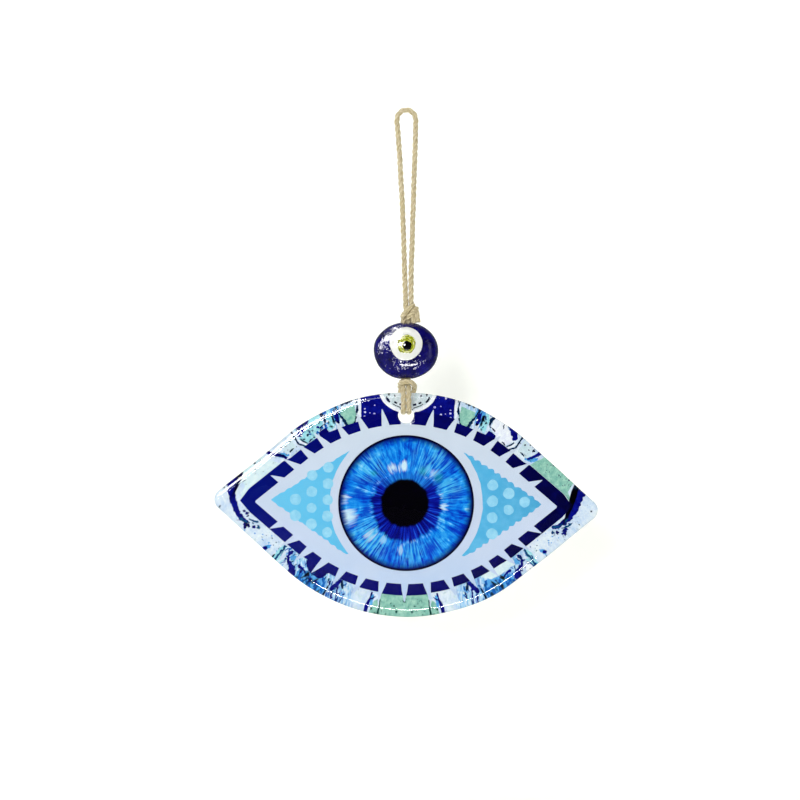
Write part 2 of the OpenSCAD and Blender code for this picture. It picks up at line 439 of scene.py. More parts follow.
class Paint:
    """A procedural material: a Principled shader and short ways to add texture nodes."""

    def __init__(self, name, **settings):
        self.material = bpy.data.materials.new(name)
        self.material.use_nodes = True
        self.tree = self.material.node_tree
        self.tree.nodes.clear()
        self.output = self.tree.nodes.new("ShaderNodeOutputMaterial")
        self.shader = self.tree.nodes.new("ShaderNodeBsdfPrincipled")
        self.tree.links.new(self.shader.outputs[0], self.output.inputs[0])
        for key, value in settings.items():
            self.shader.inputs[key.replace("_", " ").title().replace("Ior", "IOR")].default_value = value
        self.place = None

    def node(self, kind, inputs=(), **settings):
        made = self.tree.nodes.new(kind)
        for key, value in settings.items():
            setattr(made, key, value)
        for key, value in dict(inputs).items():
            if isinstance(value, bpy.types.NodeSocket):
                self.tree.links.new(value, made.inputs[key])
            else:
                made.inputs[key].default_value = value
        return made

    def mm(self):
        """Position in the row frame, in millimetres."""
        if self.place is None:
            source = self.node("ShaderNodeTexCoord").outputs["Object"]
            self.place = self.node(
                "ShaderNodeVectorMath", {0: source, 3: 1 / SCALE}, operation="SCALE"
            ).outputs[0]
        return self.place

    def on_plate(self):
        """Position on the picture, in millimetres from its centre, as a vector (u, y, v)."""
        turn = Matrix.Rotation(-PRINT_TILT, 3, "Y")
        source = self.node("ShaderNodeTexCoord").outputs["Object"]
        self.place = self.node("ShaderNodeMapping", {
            "Vector": source,
            "Location": turn @ Vector((0, 0, -IRIS_Z)),
            "Rotation": (0, -PRINT_TILT, 0),
            "Scale": (1 / SCALE, 1 / SCALE, 1 / SCALE),
        }).outputs[0]
        return self.place

    def attribute(self, name):
        return self.node("ShaderNodeAttribute", attribute_name=name).outputs["Vector"]

    def split(self, vector):
        return self.node("ShaderNodeSeparateXYZ", {0: vector}).outputs

    def vector(self, x=0.0, y=0.0, z=0.0):
        return self.node("ShaderNodeCombineXYZ", {0: x, 1: y, 2: z}).outputs[0]

    def calc(self, operation, a, b=0.0, c=0.0, clamp=False):
        return self.node(
            "ShaderNodeMath", {0: a, 1: b, 2: c}, operation=operation, use_clamp=clamp
        ).outputs[0]

    def noise(self, scale, detail=4.0, roughness=0.5, vector=None, distortion=0.0):
        return self.node("ShaderNodeTexNoise", {
            "Vector": vector or self.mm(), "Scale": scale, "Detail": detail,
            "Roughness": roughness, "Distortion": distortion,
        }).outputs[0]

    def length(self, a, b):
        """The length of a vector whose two parts are a and b."""
        return self.calc("SQRT", self.calc("ADD", self.calc("MULTIPLY", a, a), self.calc("MULTIPLY", b, b)))

    def step(self, value, low, high, to_low=0.0, to_high=1.0):
        """A smooth change from to_low to to_high while value goes from low to high."""
        return self.node("ShaderNodeMapRange", {
            "Value": value, "From Min": low, "From Max": high, "To Min": to_low, "To Max": to_high,
        }, interpolation_type="SMOOTHSTEP").outputs[0]

    def band(self, value, low, high, soft):
        """One between low and high, and zero outside, with soft edges."""
        return self.calc(
            "MULTIPLY", self.step(value, low - soft, low + soft), self.step(value, high - soft, high + soft,
                1, 0)
        )

    def ramp(self, value, stops, interpolation="LINEAR"):
        made = self.node("ShaderNodeValToRGB", {0: value})
        ramp = made.color_ramp
        ramp.interpolation = interpolation
        while len(ramp.elements) < len(stops):
            ramp.elements.new(0.5)
        for element, (position, colour) in zip(ramp.elements, sorted(stops, key=lambda s: s[0])):
            element.position = position
            element.color = linear(colour) if len(colour) == 3 else colour
        return made.outputs[0]

    def mix(self, factor, a, b, blend="MIX"):
        made = self.node("ShaderNodeMix", data_type="RGBA", blend_type=blend)
        for key, value in ((0, factor), (6, a), (7, b)):
            if isinstance(value, bpy.types.NodeSocket):
                self.tree.links.new(value, made.inputs[key])
            elif key:
                made.inputs[key].default_value = linear(value)
            else:
                made.inputs[key].default_value = value
        return made.outputs[2]

    def base(self, colour):
        self.tree.links.new(colour, self.shader.inputs["Base Color"])

    def rough(self, value):
        self.tree.links.new(value, self.shader.inputs["Roughness"])

    def bump(self, height, distance_mm, strength=1.0):
        made = self.node("ShaderNodeBump", {
            "Height": height, "Distance": distance_mm * SCALE, "Strength": strength,
        })
        self.tree.links.new(made.outputs[0], self.shader.inputs["Normal"])

    def clear_where(self, *factors):
        """Lets light straight through, as far as each factor goes."""
        shown = self.shader.outputs[0]
        for factor in factors:
            clear = self.node("ShaderNodeBsdfTransparent").outputs[0]
            shown = self.node("ShaderNodeMixShader", {0: factor, 1: shown, 2: clear}).outputs[0]
        self.tree.links.new(shown, self.output.inputs[0])


def clear_glass():
    paint = Paint("clear_glass", ior=1.5, transmission_weight=1.0)
    paint.bump(paint.noise(0.09, 2), 0.04)
    paint.rough(paint.ramp(paint.noise(0.5, 3), [(0.3, grey(0)), (0.8, grey(0.03))]))
    paint.base(paint.ramp(paint.noise(0.05, 2), [(0.3, (246, 252, 253)), (0.7, (252, 255, 255))]))
    # The film is glued to the back, so nothing is mirrored or bent there
    glued = paint.step(paint.split(paint.mm())[1], FILM_Y - 0.05, FILM_Y - 0.04)
    path = paint.node("ShaderNodeLightPath").outputs
    paint.clear_where(glued, path["Is Diffuse Ray"], path["Is Shadow Ray"])
    return paint.material


def print_finish(paint):
    """Adds the print's own faint grain and hands the material over."""
    paint.shader.inputs["Roughness"].default_value = 0.6
    paint.shader.inputs["Specular IOR Level"].default_value = 0.0
    paint.bump(paint.noise(3.0, 2, vector=paint.place or paint.mm()), 0.01)
    return paint.material


def sclera_ink():
    paint = Paint("print_pale_lavender")
    place = paint.split(paint.on_plate())
    up = paint.calc("MULTIPLY_ADD", place[2], 0.016, 0.5)
    shade = paint.ramp(up, [(0.0, (188, 208, 238)), (0.3, (200, 213, 238)), (1.0, (207, 218, 232))])
    mottle = paint.noise(0.12, 3)
    paint.base(paint.mix(paint.step(mottle, 0.35, 0.75, 0.0, 0.25), shade, (216, 224, 240)))
    return print_finish(paint)


def navy_ink():
    paint = Paint("print_navy")
    place = paint.split(paint.on_plate())
    across = paint.calc("MULTIPLY_ADD", place[0], 0.008, 0.5)
    shade = paint.ramp(across, [(0.0, (5, 20, 116)), (0.4, (3, 4, 104)), (0.75, (2, 2, 72)),
        (1.0, (2, 2, 52))])
    paint.base(paint.mix(paint.step(paint.noise(0.25, 4), 0.4, 0.75, 0, 0.4), shade, (6, 10, 118)))
    return print_finish(paint)


def sky_ink():
    paint = Paint("print_sky_blue")
    place = paint.split(paint.on_plate())
    across = paint.calc("MULTIPLY_ADD", place[0], 0.01, 0.5)
    shade = paint.ramp(across, [(0.0, (108, 200, 240)), (0.3, (92, 188, 234)), (0.8, (84, 176, 224)),
        (1.0, (80, 168, 214))])
    paint.base(paint.mix(paint.step(paint.noise(0.3, 3), 0.4, 0.7, 0, 0.4), shade, (114, 196, 236)))
    return print_finish(paint)


def dot_ink():
    paint = Paint("print_pale_blue_dots")
    paint.on_plate()
    paint.base(paint.ramp(paint.noise(0.5, 3), [(0.3, (134, 204, 236)), (0.7, (160, 218, 243))]))
    return print_finish(paint)


def iris_ink():
    """Radial fibres round a scalloped dark ring, as in a photographic picture of an iris."""
    paint = Paint("print_iris")
    place = paint.split(paint.on_plate())
    u, v = place[0], place[2]
    r = paint.length(u, v)
    cos_a, sin_a = paint.calc("DIVIDE", u, r), paint.calc("DIVIDE", v, r)

    def around(frequency, along, seed):
        """Noise that runs frequency times faster round the circle than along the radius."""
        spot = paint.vector(
            paint.calc("MULTIPLY", cos_a, frequency),
            paint.calc("MULTIPLY", sin_a, frequency),
            paint.calc("MULTIPLY_ADD", r, along, seed),
        )
        return paint.noise(1.0, 3, 0.55, spot, 0.15)

    broad = around(2.2, 0.07, 1.0)
    fibres = around(16.0, 0.10, 5.0)
    fine = around(38.0, 0.16, 9.0)
    clouds = paint.noise(0.24, 4, 0.6, paint.place, 0.9)
    tone = paint.calc("MULTIPLY_ADD", fine, 0.34, paint.calc("MULTIPLY", clouds, 0.6))
    tone = paint.calc("MULTIPLY_ADD", fibres, 0.42, tone)
    tone = paint.calc("MULTIPLY_ADD", broad, 0.26, paint.calc("SUBTRACT", tone, 0.2))
    colour = paint.ramp(tone, [
        (0.40, (2, 20, 130)), (0.49, (4, 52, 190)), (0.57, (6, 96, 216)), (0.65, (16, 134, 232)),
        (0.74, (56, 172, 242)), (0.84, (150, 218, 248)),
    ])

    def patch(colour, x, z, size, strength, tint, rag, grain):
        """Tints a ragged patch about (x, z)."""
        dx, dz = paint.calc("SUBTRACT", u, x), paint.calc("SUBTRACT", v, z)
        rough = paint.calc("MULTIPLY_ADD", paint.calc("SUBTRACT", grain, 0.5), rag, paint.length(dx, dz))
        inside = paint.step(rough, size * 0.2, size * 1.25, 1.0, 0.0)
        return paint.mix(paint.calc("MULTIPLY", inside, strength), colour, tint)

    # Brighter and darker sectors
    for x, z, size, strength in (
        (-20.8, -5.0, 3.0, 1.0), (-22.3, 1.6, 1.8, 0.8), (-5.4, 12.7, 1.9, 0.95), (-1.4, 13.3, 1.9, 1.0),
        (9.4, 11.2, 1.9, 0.6), (-12.6, -12.2, 2.0, 0.7), (13.4, -1.4, 1.0, 0.8), (12.4, 2.9, 0.8, 0.8),
        (-1.4, -17.0, 1.5, 0.6), (3.0, -13.2, 1.0, 0.6), (-8.0, -13.6, 1.2, 0.5),
    ):
        colour = patch(colour, x, z, size, strength, (206, 232, 246), 7.0, fibres)
    for x, z, size in ((5.9, 11.7, 1.9), (11.5, 9.4, 2.0), (-12.0, 10.5, 1.2)):
        colour = patch(colour, x, z, size, 0.6, (14, 130, 128), 4.0, fine)
    for x, z, size in (
        (-17.0, 3.4, 3.0), (18.4, 4.4, 3.2), (9.5, -16.0, 3.2), (-8.8, -18.0, 2.8), (-14.5, 16.5, 2.4),
        (-14.0, -3.0, 2.6), (19.0, -9.0, 2.8), (14.0, 15.0, 2.6),
    ):
        colour = patch(colour, x, z, size, 0.8, (6, 56, 196), 7.0, fine)
    for x, z, size, strength in ((-14.0, -14.0, 9.0, 0.4), (-13.0, 13.0, 7.0, 0.3), (9.0, 15.0, 8.0, 0.35),
            (15.0, 5.0, 5.0, 0.3), (2.0, -18.0, 6.0, 0.3)):
        streaky = paint.calc("MULTIPLY", paint.step(fine, 0.44, 0.6), strength * 2)
        colour = patch(colour, x, z, size, streaky, (92, 200, 236), 9.0, fibres)
    # Dark scalloped ring round the pupil, deepest below and thin above
    reach = paint.calc("MULTIPLY_ADD", sin_a, -1.3, paint.calc("MULTIPLY_ADD", around(4.0, 0.0, 3.0), 5.2,
        9.9))
    reach = paint.calc("MULTIPLY_ADD", around(22.0, 0.0, 7.0), 3.0, paint.calc("SUBTRACT", reach, 1.4))
    inner = paint.calc("SUBTRACT", r, reach)
    upward = paint.step(sin_a, 0.5, 0.9)
    dark = paint.ramp(fibres, [(0.40, (4, 6, 104)), (0.52, (8, 20, 150)), (0.60, (14, 52, 196)),
        (0.72, (40, 110, 226))])
    pale = paint.mix(paint.step(fibres, 0.35, 0.65), (8, 74, 190), (40, 140, 226))
    dark = paint.mix(upward, dark, pale)
    rim_light = paint.calc("MULTIPLY", paint.band(inner, 0.2, 1.0, 0.4), paint.step(fibres, 0.5, 0.66))
    colour = paint.mix(paint.calc("MULTIPLY", rim_light, 0.5), colour, (150, 214, 248))
    colour = paint.mix(paint.step(inner, -0.9, 0.5, 1.0, 0.0), colour, dark)
    # Pupil and limbal ring
    uneven = paint.calc("SUBTRACT", around(3.0, 0.0, 2.0), 0.5)
    pupil = paint.calc("MULTIPLY_ADD", uneven, 2.0, paint.calc("MULTIPLY_ADD", cos_a, 0.4, r))
    colour = paint.mix(paint.step(pupil, 8.2, 9.3, 1.0, 0.0), colour, (1, 0, 6))
    fringe = paint.calc("MULTIPLY_ADD", paint.calc("SUBTRACT", fibres, 0.5), 2.4, r)
    colour = paint.mix(paint.step(fringe, 21.6, 24.0, 0.0, 0.9), colour, (3, 14, 110))
    colour = paint.mix(paint.step(r, 23.5, 24.2), colour, (2, 2, 40))
    paint.base(colour)
    return print_finish(paint)


# ---------------------------------------------------------------- print

SCLERA_V = -0.4
sclera_shape = Almond(109.6, 58.0, 56.0, 0.6)
IRIS_R = 24.7
# The upper border is drawn from a line this far outside the white of the eye
UPPER_SHIFT = 0.8


def sclera_point(s, out, side, up):
    u, v = sclera_shape.at(s, out + (UPPER_SHIFT if up > 0 else 0.0))
    return (side * u, up * v + SCLERA_V)


def ragged(outline, amount, seed, step=0.3):
    """The closed outline with more points, moved to and fro by up to the amount."""
    made = []
    for (x0, z0), (x1, z1) in zip(outline, outline[1:] + outline[:1]):
        count = max(1, round(math.dist((x0, z0), (x1, z1)) / step))
        for k in range(count):
            t = k / count
            x, z = x0 + (x1 - x0) * t, z0 + (z1 - z0) * t
            made.append((
                x + amount * 1.6 * noise.noise(Vector((x * 1.4, z * 1.4, seed))),
                z + amount * 1.6 * noise.noise(Vector((x * 1.4, z * 1.4, seed + 40))),
            ))
    return made


def stroke(points, widths, rough=0.12, seed=1.0):
    """The outline of a hand-drawn line, with its width at each point."""
    left, right = [], []
    for i, (x, z) in enumerate(points):
        (x0, z0), (x1, z1) = points[max(i - 1, 0)], points[min(i + 1, len(points) - 1)]
        run = math.dist((x0, z0), (x1, z1))
        nx, nz, half = -(z1 - z0) / run, (x1 - x0) / run, widths[min(i, len(widths) - 1)] / 2
        left.append((x + nx * half, z + nz * half))
        right.append((x - nx * half, z - nz * half))
    return ragged(left + right[::-1], rough, seed)


def blob(x, z, rx, rz, rough=0.25, seed=1.0, sides=22, lean=0.0):
    made = []
    for k in range(sides):
        a = math.tau * k / sides
        swell = 1 + rough * 1.8 * noise.noise(Vector((math.cos(a) * 1.6 + x, math.sin(a) * 1.6 + z, seed)))
        made.append((x + (rx * math.cos(a) + lean * math.sin(a)) * swell, z + rz * math.sin(a) * swell))
    return made


class Border:
    """Drawings along the border, kept by ink. Each is drawn on both sides unless only one is named."""

    def __init__(self):
        self.inks = {}

    def add(self, ink_name, up, shape, sides=(-1, 1)):
        for side in sides:
            outline = [sclera_point(x, z, side, up) for x, z in shape]
            self.inks.setdefault(ink_name, []).append(outline[::-side * up])

    def upper(self, ink_name, shape, sides=(-1, 1)):
        self.add(ink_name, 1, shape, sides)

    def lower(self, ink_name, shape, sides=(-1, 1)):
        self.add(ink_name, -1, shape, sides)


def draw_upper(border):
    up, left, right = border.upper, (-1,), (1,)
    up("cobalt", ragged([(0.4, 1.5), (0.4, 12), (14.2, 12), (14.8, 8), (15.9, 3.4), (16.2, 1.5)], 0.05, 1))
    for x, z, r in ((11.2, 4.1, 0.42), (14.1, 5.4, 0.36), (14.6, 3.8, 0.4), (12.6, 4.8, 0.2),
            (13.9, 6.6, 0.26), (10.6, 7.1, 0.2)):
        up("petal", blob(x, z, r, r, 0.2, x, 10))
    up("petal", blob(8.7, 6.4, 0.42, 0.42, 0.2, 3, 10), right)
    up("petal", blob(11.6, 9.6, 0.36, 0.4, 0.2, 4, 10), right)
    up("petal", [(4.0, 3.0), (4.2, 3.5), (4.7, 3.85), (5.3, 3.9), (5.9, 3.6), (6.3, 3.05), (5.7, 3.2),
        (5.0, 3.3)])
    # Slanting white and dark lines beside the cobalt patch
    up("white", stroke([(14.7, 11), (15.2, 8.2), (15.8, 6), (16.8, 3.4)], [0.9, 0.8, 0.9, 0.9], 0.06, 5))
    up("dark", stroke([(16.0, 11), (16.1, 8.2), (16.5, 6.8), (17.1, 5.2)], [0.3, 0.35, 0.8, 0.35], 0.16, 6))
    up("dark", stroke([(15.3, 10.6), (15.5, 9.2)], [0.25], 0.06, 7))
    # Mint block, its dark broken edges and the blotches beyond it
    up("mint", ragged([(16.9, 8.6), (22.0, 8.3), (21.0, 2.2), (18.6, 2.2), (17.2, 5.0)], 0.12, 8))
    up("dark", stroke([(17.2, 4.8), (17.9, 3.6), (18.7, 2.5)], [0.55, 0.3, 0.5], 0.2, 9))
    up("dark", stroke([(22.6, 9.6), (22.2, 7.4), (21.5, 4.6), (21.1, 2)], [0.7, 0.5, 0.9, 1.3], 0.24, 10))
    up("dark", stroke([(17, 9.8), (19, 9.9), (21, 9.6)], [0.9, 1.1, 0.9], 0.3, 11))
    up("sky", blob(23.6, 7.0, 1.5, 3.3, 0.3, 12, 26, -0.5))
    up("cobalt", blob(23.4, 7.0, 0.8, 1.9, 0.4, 13, 22, -0.3))
    up("cobalt", blob(23.7, 5.0, 0.6, 0.5, 0.4, 14, 14))
    up("aqua", blob(25.6, 6.6, 1.3, 3.0, 0.3, 15, 26, -0.4))
    up("dark", blob(24.7, 6.7, 0.34, 0.5, 0.3, 16, 12))
    up("dark", stroke([(27.4, 9.6), (27.0, 8.0), (27.6, 6.6)], [1.1, 0.9, 0.4], 0.3, 17))
    up("deep_sky", ragged([(25.2, 10.8), (25.6, 9.2), (27.5, 8.8), (28.4, 12), (25, 12)], 0.3, 18))
    up("dark", stroke([(27.6, 6.3), (28.6, 6.4), (29.8, 5.9)], [0.4, 0.3, 0.7], 0.2, 19))
    up("navy", ragged([(27.4, 2), (28.0, 4.9), (29.4, 5.1), (31.0, 4.5), (31.0, 2)], 0.15, 20))
    up("aqua", ragged([(28.0, 9.8), (31.0, 9.6), (34.0, 8.2), (37.4, 6.8), (36.8, 4.2), (33.4, 3.4),
        (30.4, 5.4), (28.2, 6.8)], 0.2, 21), left)
    up("white", ragged([(27.4, 9.6), (31.6, 9.2), (35.0, 7.6), (36.6, 6.6), (35.6, 4.2), (33.4, 3.2),
        (30.4, 5.0), (28.2, 6.2)], 0.2, 22), right)
    up("cobalt", ragged([(30.0, 10.0), (32.2, 9.2), (34.4, 8.0), (36.4, 6.9), (37.2, 7.9), (35.9, 9.2),
        (36.8, 10.6), (36.0, 12.5), (30.4, 12.5)], 0.28, 23))
    up("dark", stroke([(31.0, 8.6), (31.8, 8.2)], [0.5, 0.6], 0.2, 24))
    # Cracks
    up("dark", stroke([(37.9, 12), (38.0, 9.2), (38.3, 7.0), (38.5, 5.4), (37.4, 4.0), (36.9, 2.8)],
        [0.5, 0.6, 0.5, 0.75, 0.45, 0.4], 0.12, 25))
    up("dark", stroke([(37.0, 6.5), (36.5, 5.0), (35.9, 3.6)], [0.45, 0.4, 0.3], 0.1, 26))
    up("white", stroke([(37.7, 6.8), (37.4, 5.4), (36.6, 3.8), (36.1, 3.0)], [0.5, 0.7, 0.6, 0.6], 0.08, 27))
    up("dark", stroke([(33.6, 4.0), (34.4, 4.1), (35.1, 3.7)], [0.4, 0.6, 0.35], 0.18, 28))
    up("dark", stroke([(40.8, 5.2), (41.8, 5.4), (42.8, 5.1)], [0.35, 0.6, 0.4], 0.18, 29))
    for x, z, r in ((44.1, 8.2, 0.36), (42.6, 7.7, 0.2), (40.4, 8.0, 0.22), (29.8, 9.9, 0.3),
            (53.0, 8.5, 0.2), (48.9, 9.9, 0.2)):
        up("dark", blob(x, z, r * 1.3, r, 0.4, x, 10))
    up("haze", ragged([(39.2, 8.6), (43.0, 8.2), (45.0, 6.2), (43.8, 4.9), (40.0, 4.8)], 0.4, 30))
    # Cobalt line that climbs from the band to the rim
    up("sky", stroke([(43.6, 4.6), (45.6, 5.9), (47.3, 7.4)], [0.5, 1.9, 0.7], 0.25, 31))
    up("cobalt", stroke([(45.0, 5.0), (46.5, 6.6), (48.0, 8.1), (49.8, 9.6), (51.2, 10.4)],
        [0.6, 0.9, 0.7, 0.6, 0.6], 0.18, 32), left)
    up("cobalt", stroke([(44.2, 5.0), (45.2, 6.6), (46.1, 8.2), (47.4, 10.0), (48.0, 11.5)],
        [0.6, 1.0, 1.2, 1.3, 1.8], 0.22, 33), right)
    # The pale field on the left and the mint one on the right
    up("frost", ragged([(48.2, 3.9), (49.4, 6.6), (52.0, 9.3), (54.0, 10.2), (62.0, 10.2), (63.8, 3.9)],
        0.1, 34), left)
    up("mint", ragged([(46.4, 4.2), (47.2, 6.6), (49.4, 9.8), (62.4, 9.8), (63.6, 4.2)], 0.1, 35), right)
    # The pine strip along the very edge is painted shade for the rounded rim's darker look over the mint
    # field.
    up("pine", ragged([(49.6, 9.9), (62.6, 9.9), (62.6, 13), (49.6, 13)], 0.08, 36), right)
    up("dark", blob(54.2, 10.6, 0.7, 1.0, 0.4, 37, 14), right)
    for x, z, r in ((55.1, 8.8, 0.42), (60.9, 8.3, 0.34), (51.0, 8.9, 0.2), (57.0, 7.6, 0.16)):
        up("dark", blob(x, z, r, r, 0.3, x, 10), right)
    for x, z, r in ((55.3, 9.2, 0.5), (56.1, 8.3, 0.42), (52.0, 8.4, 0.2), (61.9, 7.4, 0.28),
            (57.4, 10.9, 0.5), (55.9, 11.1, 0.5)):
        up("dark", blob(x, z, r, r * 0.8, 0.4, x, 10), left)


def draw_rim_shade(border):
    """Darker colours at the very edge of the upper border, which show through the rounded rim: painted shade
    for the rim's darker look, laid in print colours.
    """
    for ink_name, side, x0, x1 in (
        ("navy", -1, 15.0, 19.6), ("violet", -1, 19.9, 23.6), ("navy", -1, 24.0, 27.6), ("rim_grey", -1,
            28.0, 38.0),
        ("pine", -1, 38.4, 45.0), ("rim_grey", -1, 45.4, 50.8), ("pine", -1, 51.0, 54.6), ("rim_grey", -1,
            55.0, 58.8),
        ("navy", -1, 59.2, 63.0), ("rim_grey", 1, 16.5, 22.0), ("deep_sky", 1, 22.3, 26.8), ("rim_grey", 1,
            27.2, 31.0),
        ("navy", 1, 31.4, 37.0), ("rim_grey", 1, 37.4, 47.0), ("navy", 1, 60.4, 61.8),
    ):
        edge = 10.6 if x0 < 40 else 10.2
        border.upper(ink_name, ragged([(x0, edge), (x1, edge), (x1, 13.5), (x0, 13.5)], 0.3, x0, 0.5),
            (side,))
    for x in (17.2, 18.1, 19.0, 19.9, 20.8):
        border.upper("dark", stroke([(x, 10.8), (x + 0.1, 12.4)], [0.4, 0.3], 0.1, x), (1,))


def draw_lower(border):
    low, left, right = border.lower, (-1,), (1,)
    low("mint", ragged([(0, 3.4), (0, 14), (8.1, 14), (8.0, 9), (7.9, 3.4)], 0.08, 51))
    for x, z, r in ((2.4, 9.9, 0.34), (3.3, 8.2, 0.28), (4.4, 7.4, 0.24), (5.6, 10.6, 0.16),
            (8.9, 10.8, 0.34), (10.3, 9.8, 0.3), (10.0, 11.2, 0.2)):
        low("pine_dark", blob(x, z, r, r, 0.4, x, 10))
    low("pine_dark", blob(0.1, 6.4, 0.45, 0.4, 0.4, 52, 10), right)
    low("mint", ragged([(8.2, 14), (8.3, 8.6), (9.0, 6.4), (10.2, 8.0), (11.0, 14)], 0.2, 53))
    low("pine_dark", stroke([(7.8, 12.4), (8.0, 10.4), (7.9, 8.0), (8.0, 6.2)], [0.7, 0.6, 0.4, 0.25], 0.12,
        54))
    low("sky", stroke([(10.6, 9.4), (10.7, 7.6), (10.5, 5.0)], [0.7, 1.1, 0.8], 0.2, 55))
    low("cobalt", stroke([(11.7, 12.5), (11.9, 9.6), (11.4, 7.6), (11.2, 6.2), (11.0, 4.2)],
        [1.1, 1.2, 0.75, 0.5, 0.6], 0.12, 56))
    low("cobalt", stroke([(11.2, 6.9), (10.2, 6.3), (9.6, 5.4)], [0.4, 0.45, 0.2], 0.12, 57))
    # Cobalt streaks
    low("cobalt", stroke([(24.2, 8.6), (23.7, 6.8), (23.0, 5.2), (22.2, 3.4)], [1.0, 1.7, 1.5, 1.2], 0.35,
        58))
    low("cobalt", stroke([(22.6, 12), (22.9, 10.6), (23.5, 8.8)], [0.5, 0.6, 0.5], 0.2, 59))
    low("cobalt", stroke([(21.3, 11.6), (21.7, 9.6), (22.2, 7.8), (22.6, 6.2)], [0.35, 0.5, 0.4, 0.6], 0.2,
        60))
    low("dark", stroke([(20.8, 6.4), (21.3, 5.2), (21.9, 3.6)], [0.6, 0.9, 0.5], 0.25, 61))
    low("dark", stroke([(20.8, 11.6), (21.2, 9.8)], [0.3, 0.2], 0.15, 62))
    low("dark", stroke([(25.4, 12), (25.5, 9.4), (25.3, 7.2)], [0.6, 0.7, 0.35], 0.16, 63))
    low("sky", ragged([(25.8, 13), (26.2, 7.6), (27.4, 5.6), (30.0, 6.4), (33.4, 6.8), (36.0, 8.0),
        (36.0, 13)], 0.3, 64))
    for k, (x, z, tall) in enumerate(((26.7, 8.8, 1.9), (27.6, 6.6, 1.0), (28.6, 9.6, 1.5),
            (30.6, 10.6, 1.2), (31.8, 8.4, 1.0), (33.2, 10.8, 1.3), (34.6, 9.0, 1.4))):
        low("deep_sky", blob(x, z, 0.5, tall, 0.5, 65 + k, 18, -0.3))
    for k, (x, z) in enumerate(((27.6, 10.8), (29.6, 8.2), (31.2, 9.4), (33.0, 8.0), (35.2, 10.8))):
        low("aqua", blob(x, z, 0.6, 1.1, 0.5, 75 + k, 16, 0.3))
    low("navy", ragged([(27.4, 3), (28.2, 6.2), (29.6, 6.9), (31.8, 7.0), (33.6, 6.4), (35.4, 4.8),
        (36, 3)], 0.3, 80), left)
    low("frost", ragged([(27.0, 4.0), (29.6, 6.0), (32.6, 6.7), (36.4, 6.3), (38.6, 6.6), (39.6, 5.0),
        (39.2, 3.0), (27.6, 3.2)], 0.2, 81), right)
    low("cobalt", stroke([(36.8, 12.5), (36.9, 10.2), (38.6, 8.8), (40.6, 8.3), (41.8, 7.0), (41.9, 4.6)],
        [1.8, 1.9, 1.6, 1.0, 1.0, 1.2], 0.4, 82))
    low("cobalt", stroke([(33.6, 7.8), (35.0, 7.3), (36.8, 7.2)], [0.6, 0.8, 0.7], 0.25, 83))
    low("sky", blob(40.0, 6.2, 0.9, 1.5, 0.4, 84, 20))
    low("mint", ragged([(38.2, 13), (38.4, 11.2), (40.6, 10.0), (42.6, 10.2), (43.2, 13)], 0.15, 85), left)
    low("white", ragged([(38.8, 13), (39.4, 11.2), (41.8, 9.0), (43.4, 9.6), (43.4, 13)], 0.15, 86), right)
    low("aqua", stroke([(44.9, 13), (44.7, 9.8), (45.2, 7.6), (44.8, 4.8)], [2.0, 1.9, 2.1, 1.4], 0.3, 87))
    low("deep_dark", stroke([(44.6, 13), (44.5, 10), (44.9, 8.0), (44.6, 6.4), (44.8, 4.6)],
        [0.8, 0.9, 0.7, 0.5, 0.7], 0.3, 88))
    low("deep_dark", stroke([(42.6, 12.4), (42.7, 10.8)], [0.5, 0.3], 0.15, 89))
    low("dark", blob(45.9, 9.7, 0.3, 0.6, 0.3, 90, 10), left)
    # Pale end with one cobalt diamond and fine streaks beside the band
    low("sky", blob(49.6, 9.0, 0.8, 0.9, 0.3, 91, 16, 0.4))
    low("cobalt", blob(50.0, 9.5, 0.7, 0.5, 0.3, 92, 12, 0.2))
    low("deep_dark", blob(56.7, 6.2, 0.7, 0.55, 0.5, 93, 14))
    low("cobalt", blob(58.1, 7.1, 0.6, 0.5, 0.5, 94, 14))
    low("cobalt", blob(60.9, 8.3, 0.75, 0.9, 0.5, 95, 16))
    low("deep_dark", stroke([(58.0, 4.6), (59.4, 5.6), (61.4, 6.0)], [0.7, 0.5, 0.3], 0.18, 96))
    low("deep_dark", stroke([(60.2, 7.0), (61.6, 7.6), (63.4, 7.9)], [0.3, 0.6, 0.9], 0.2, 97))


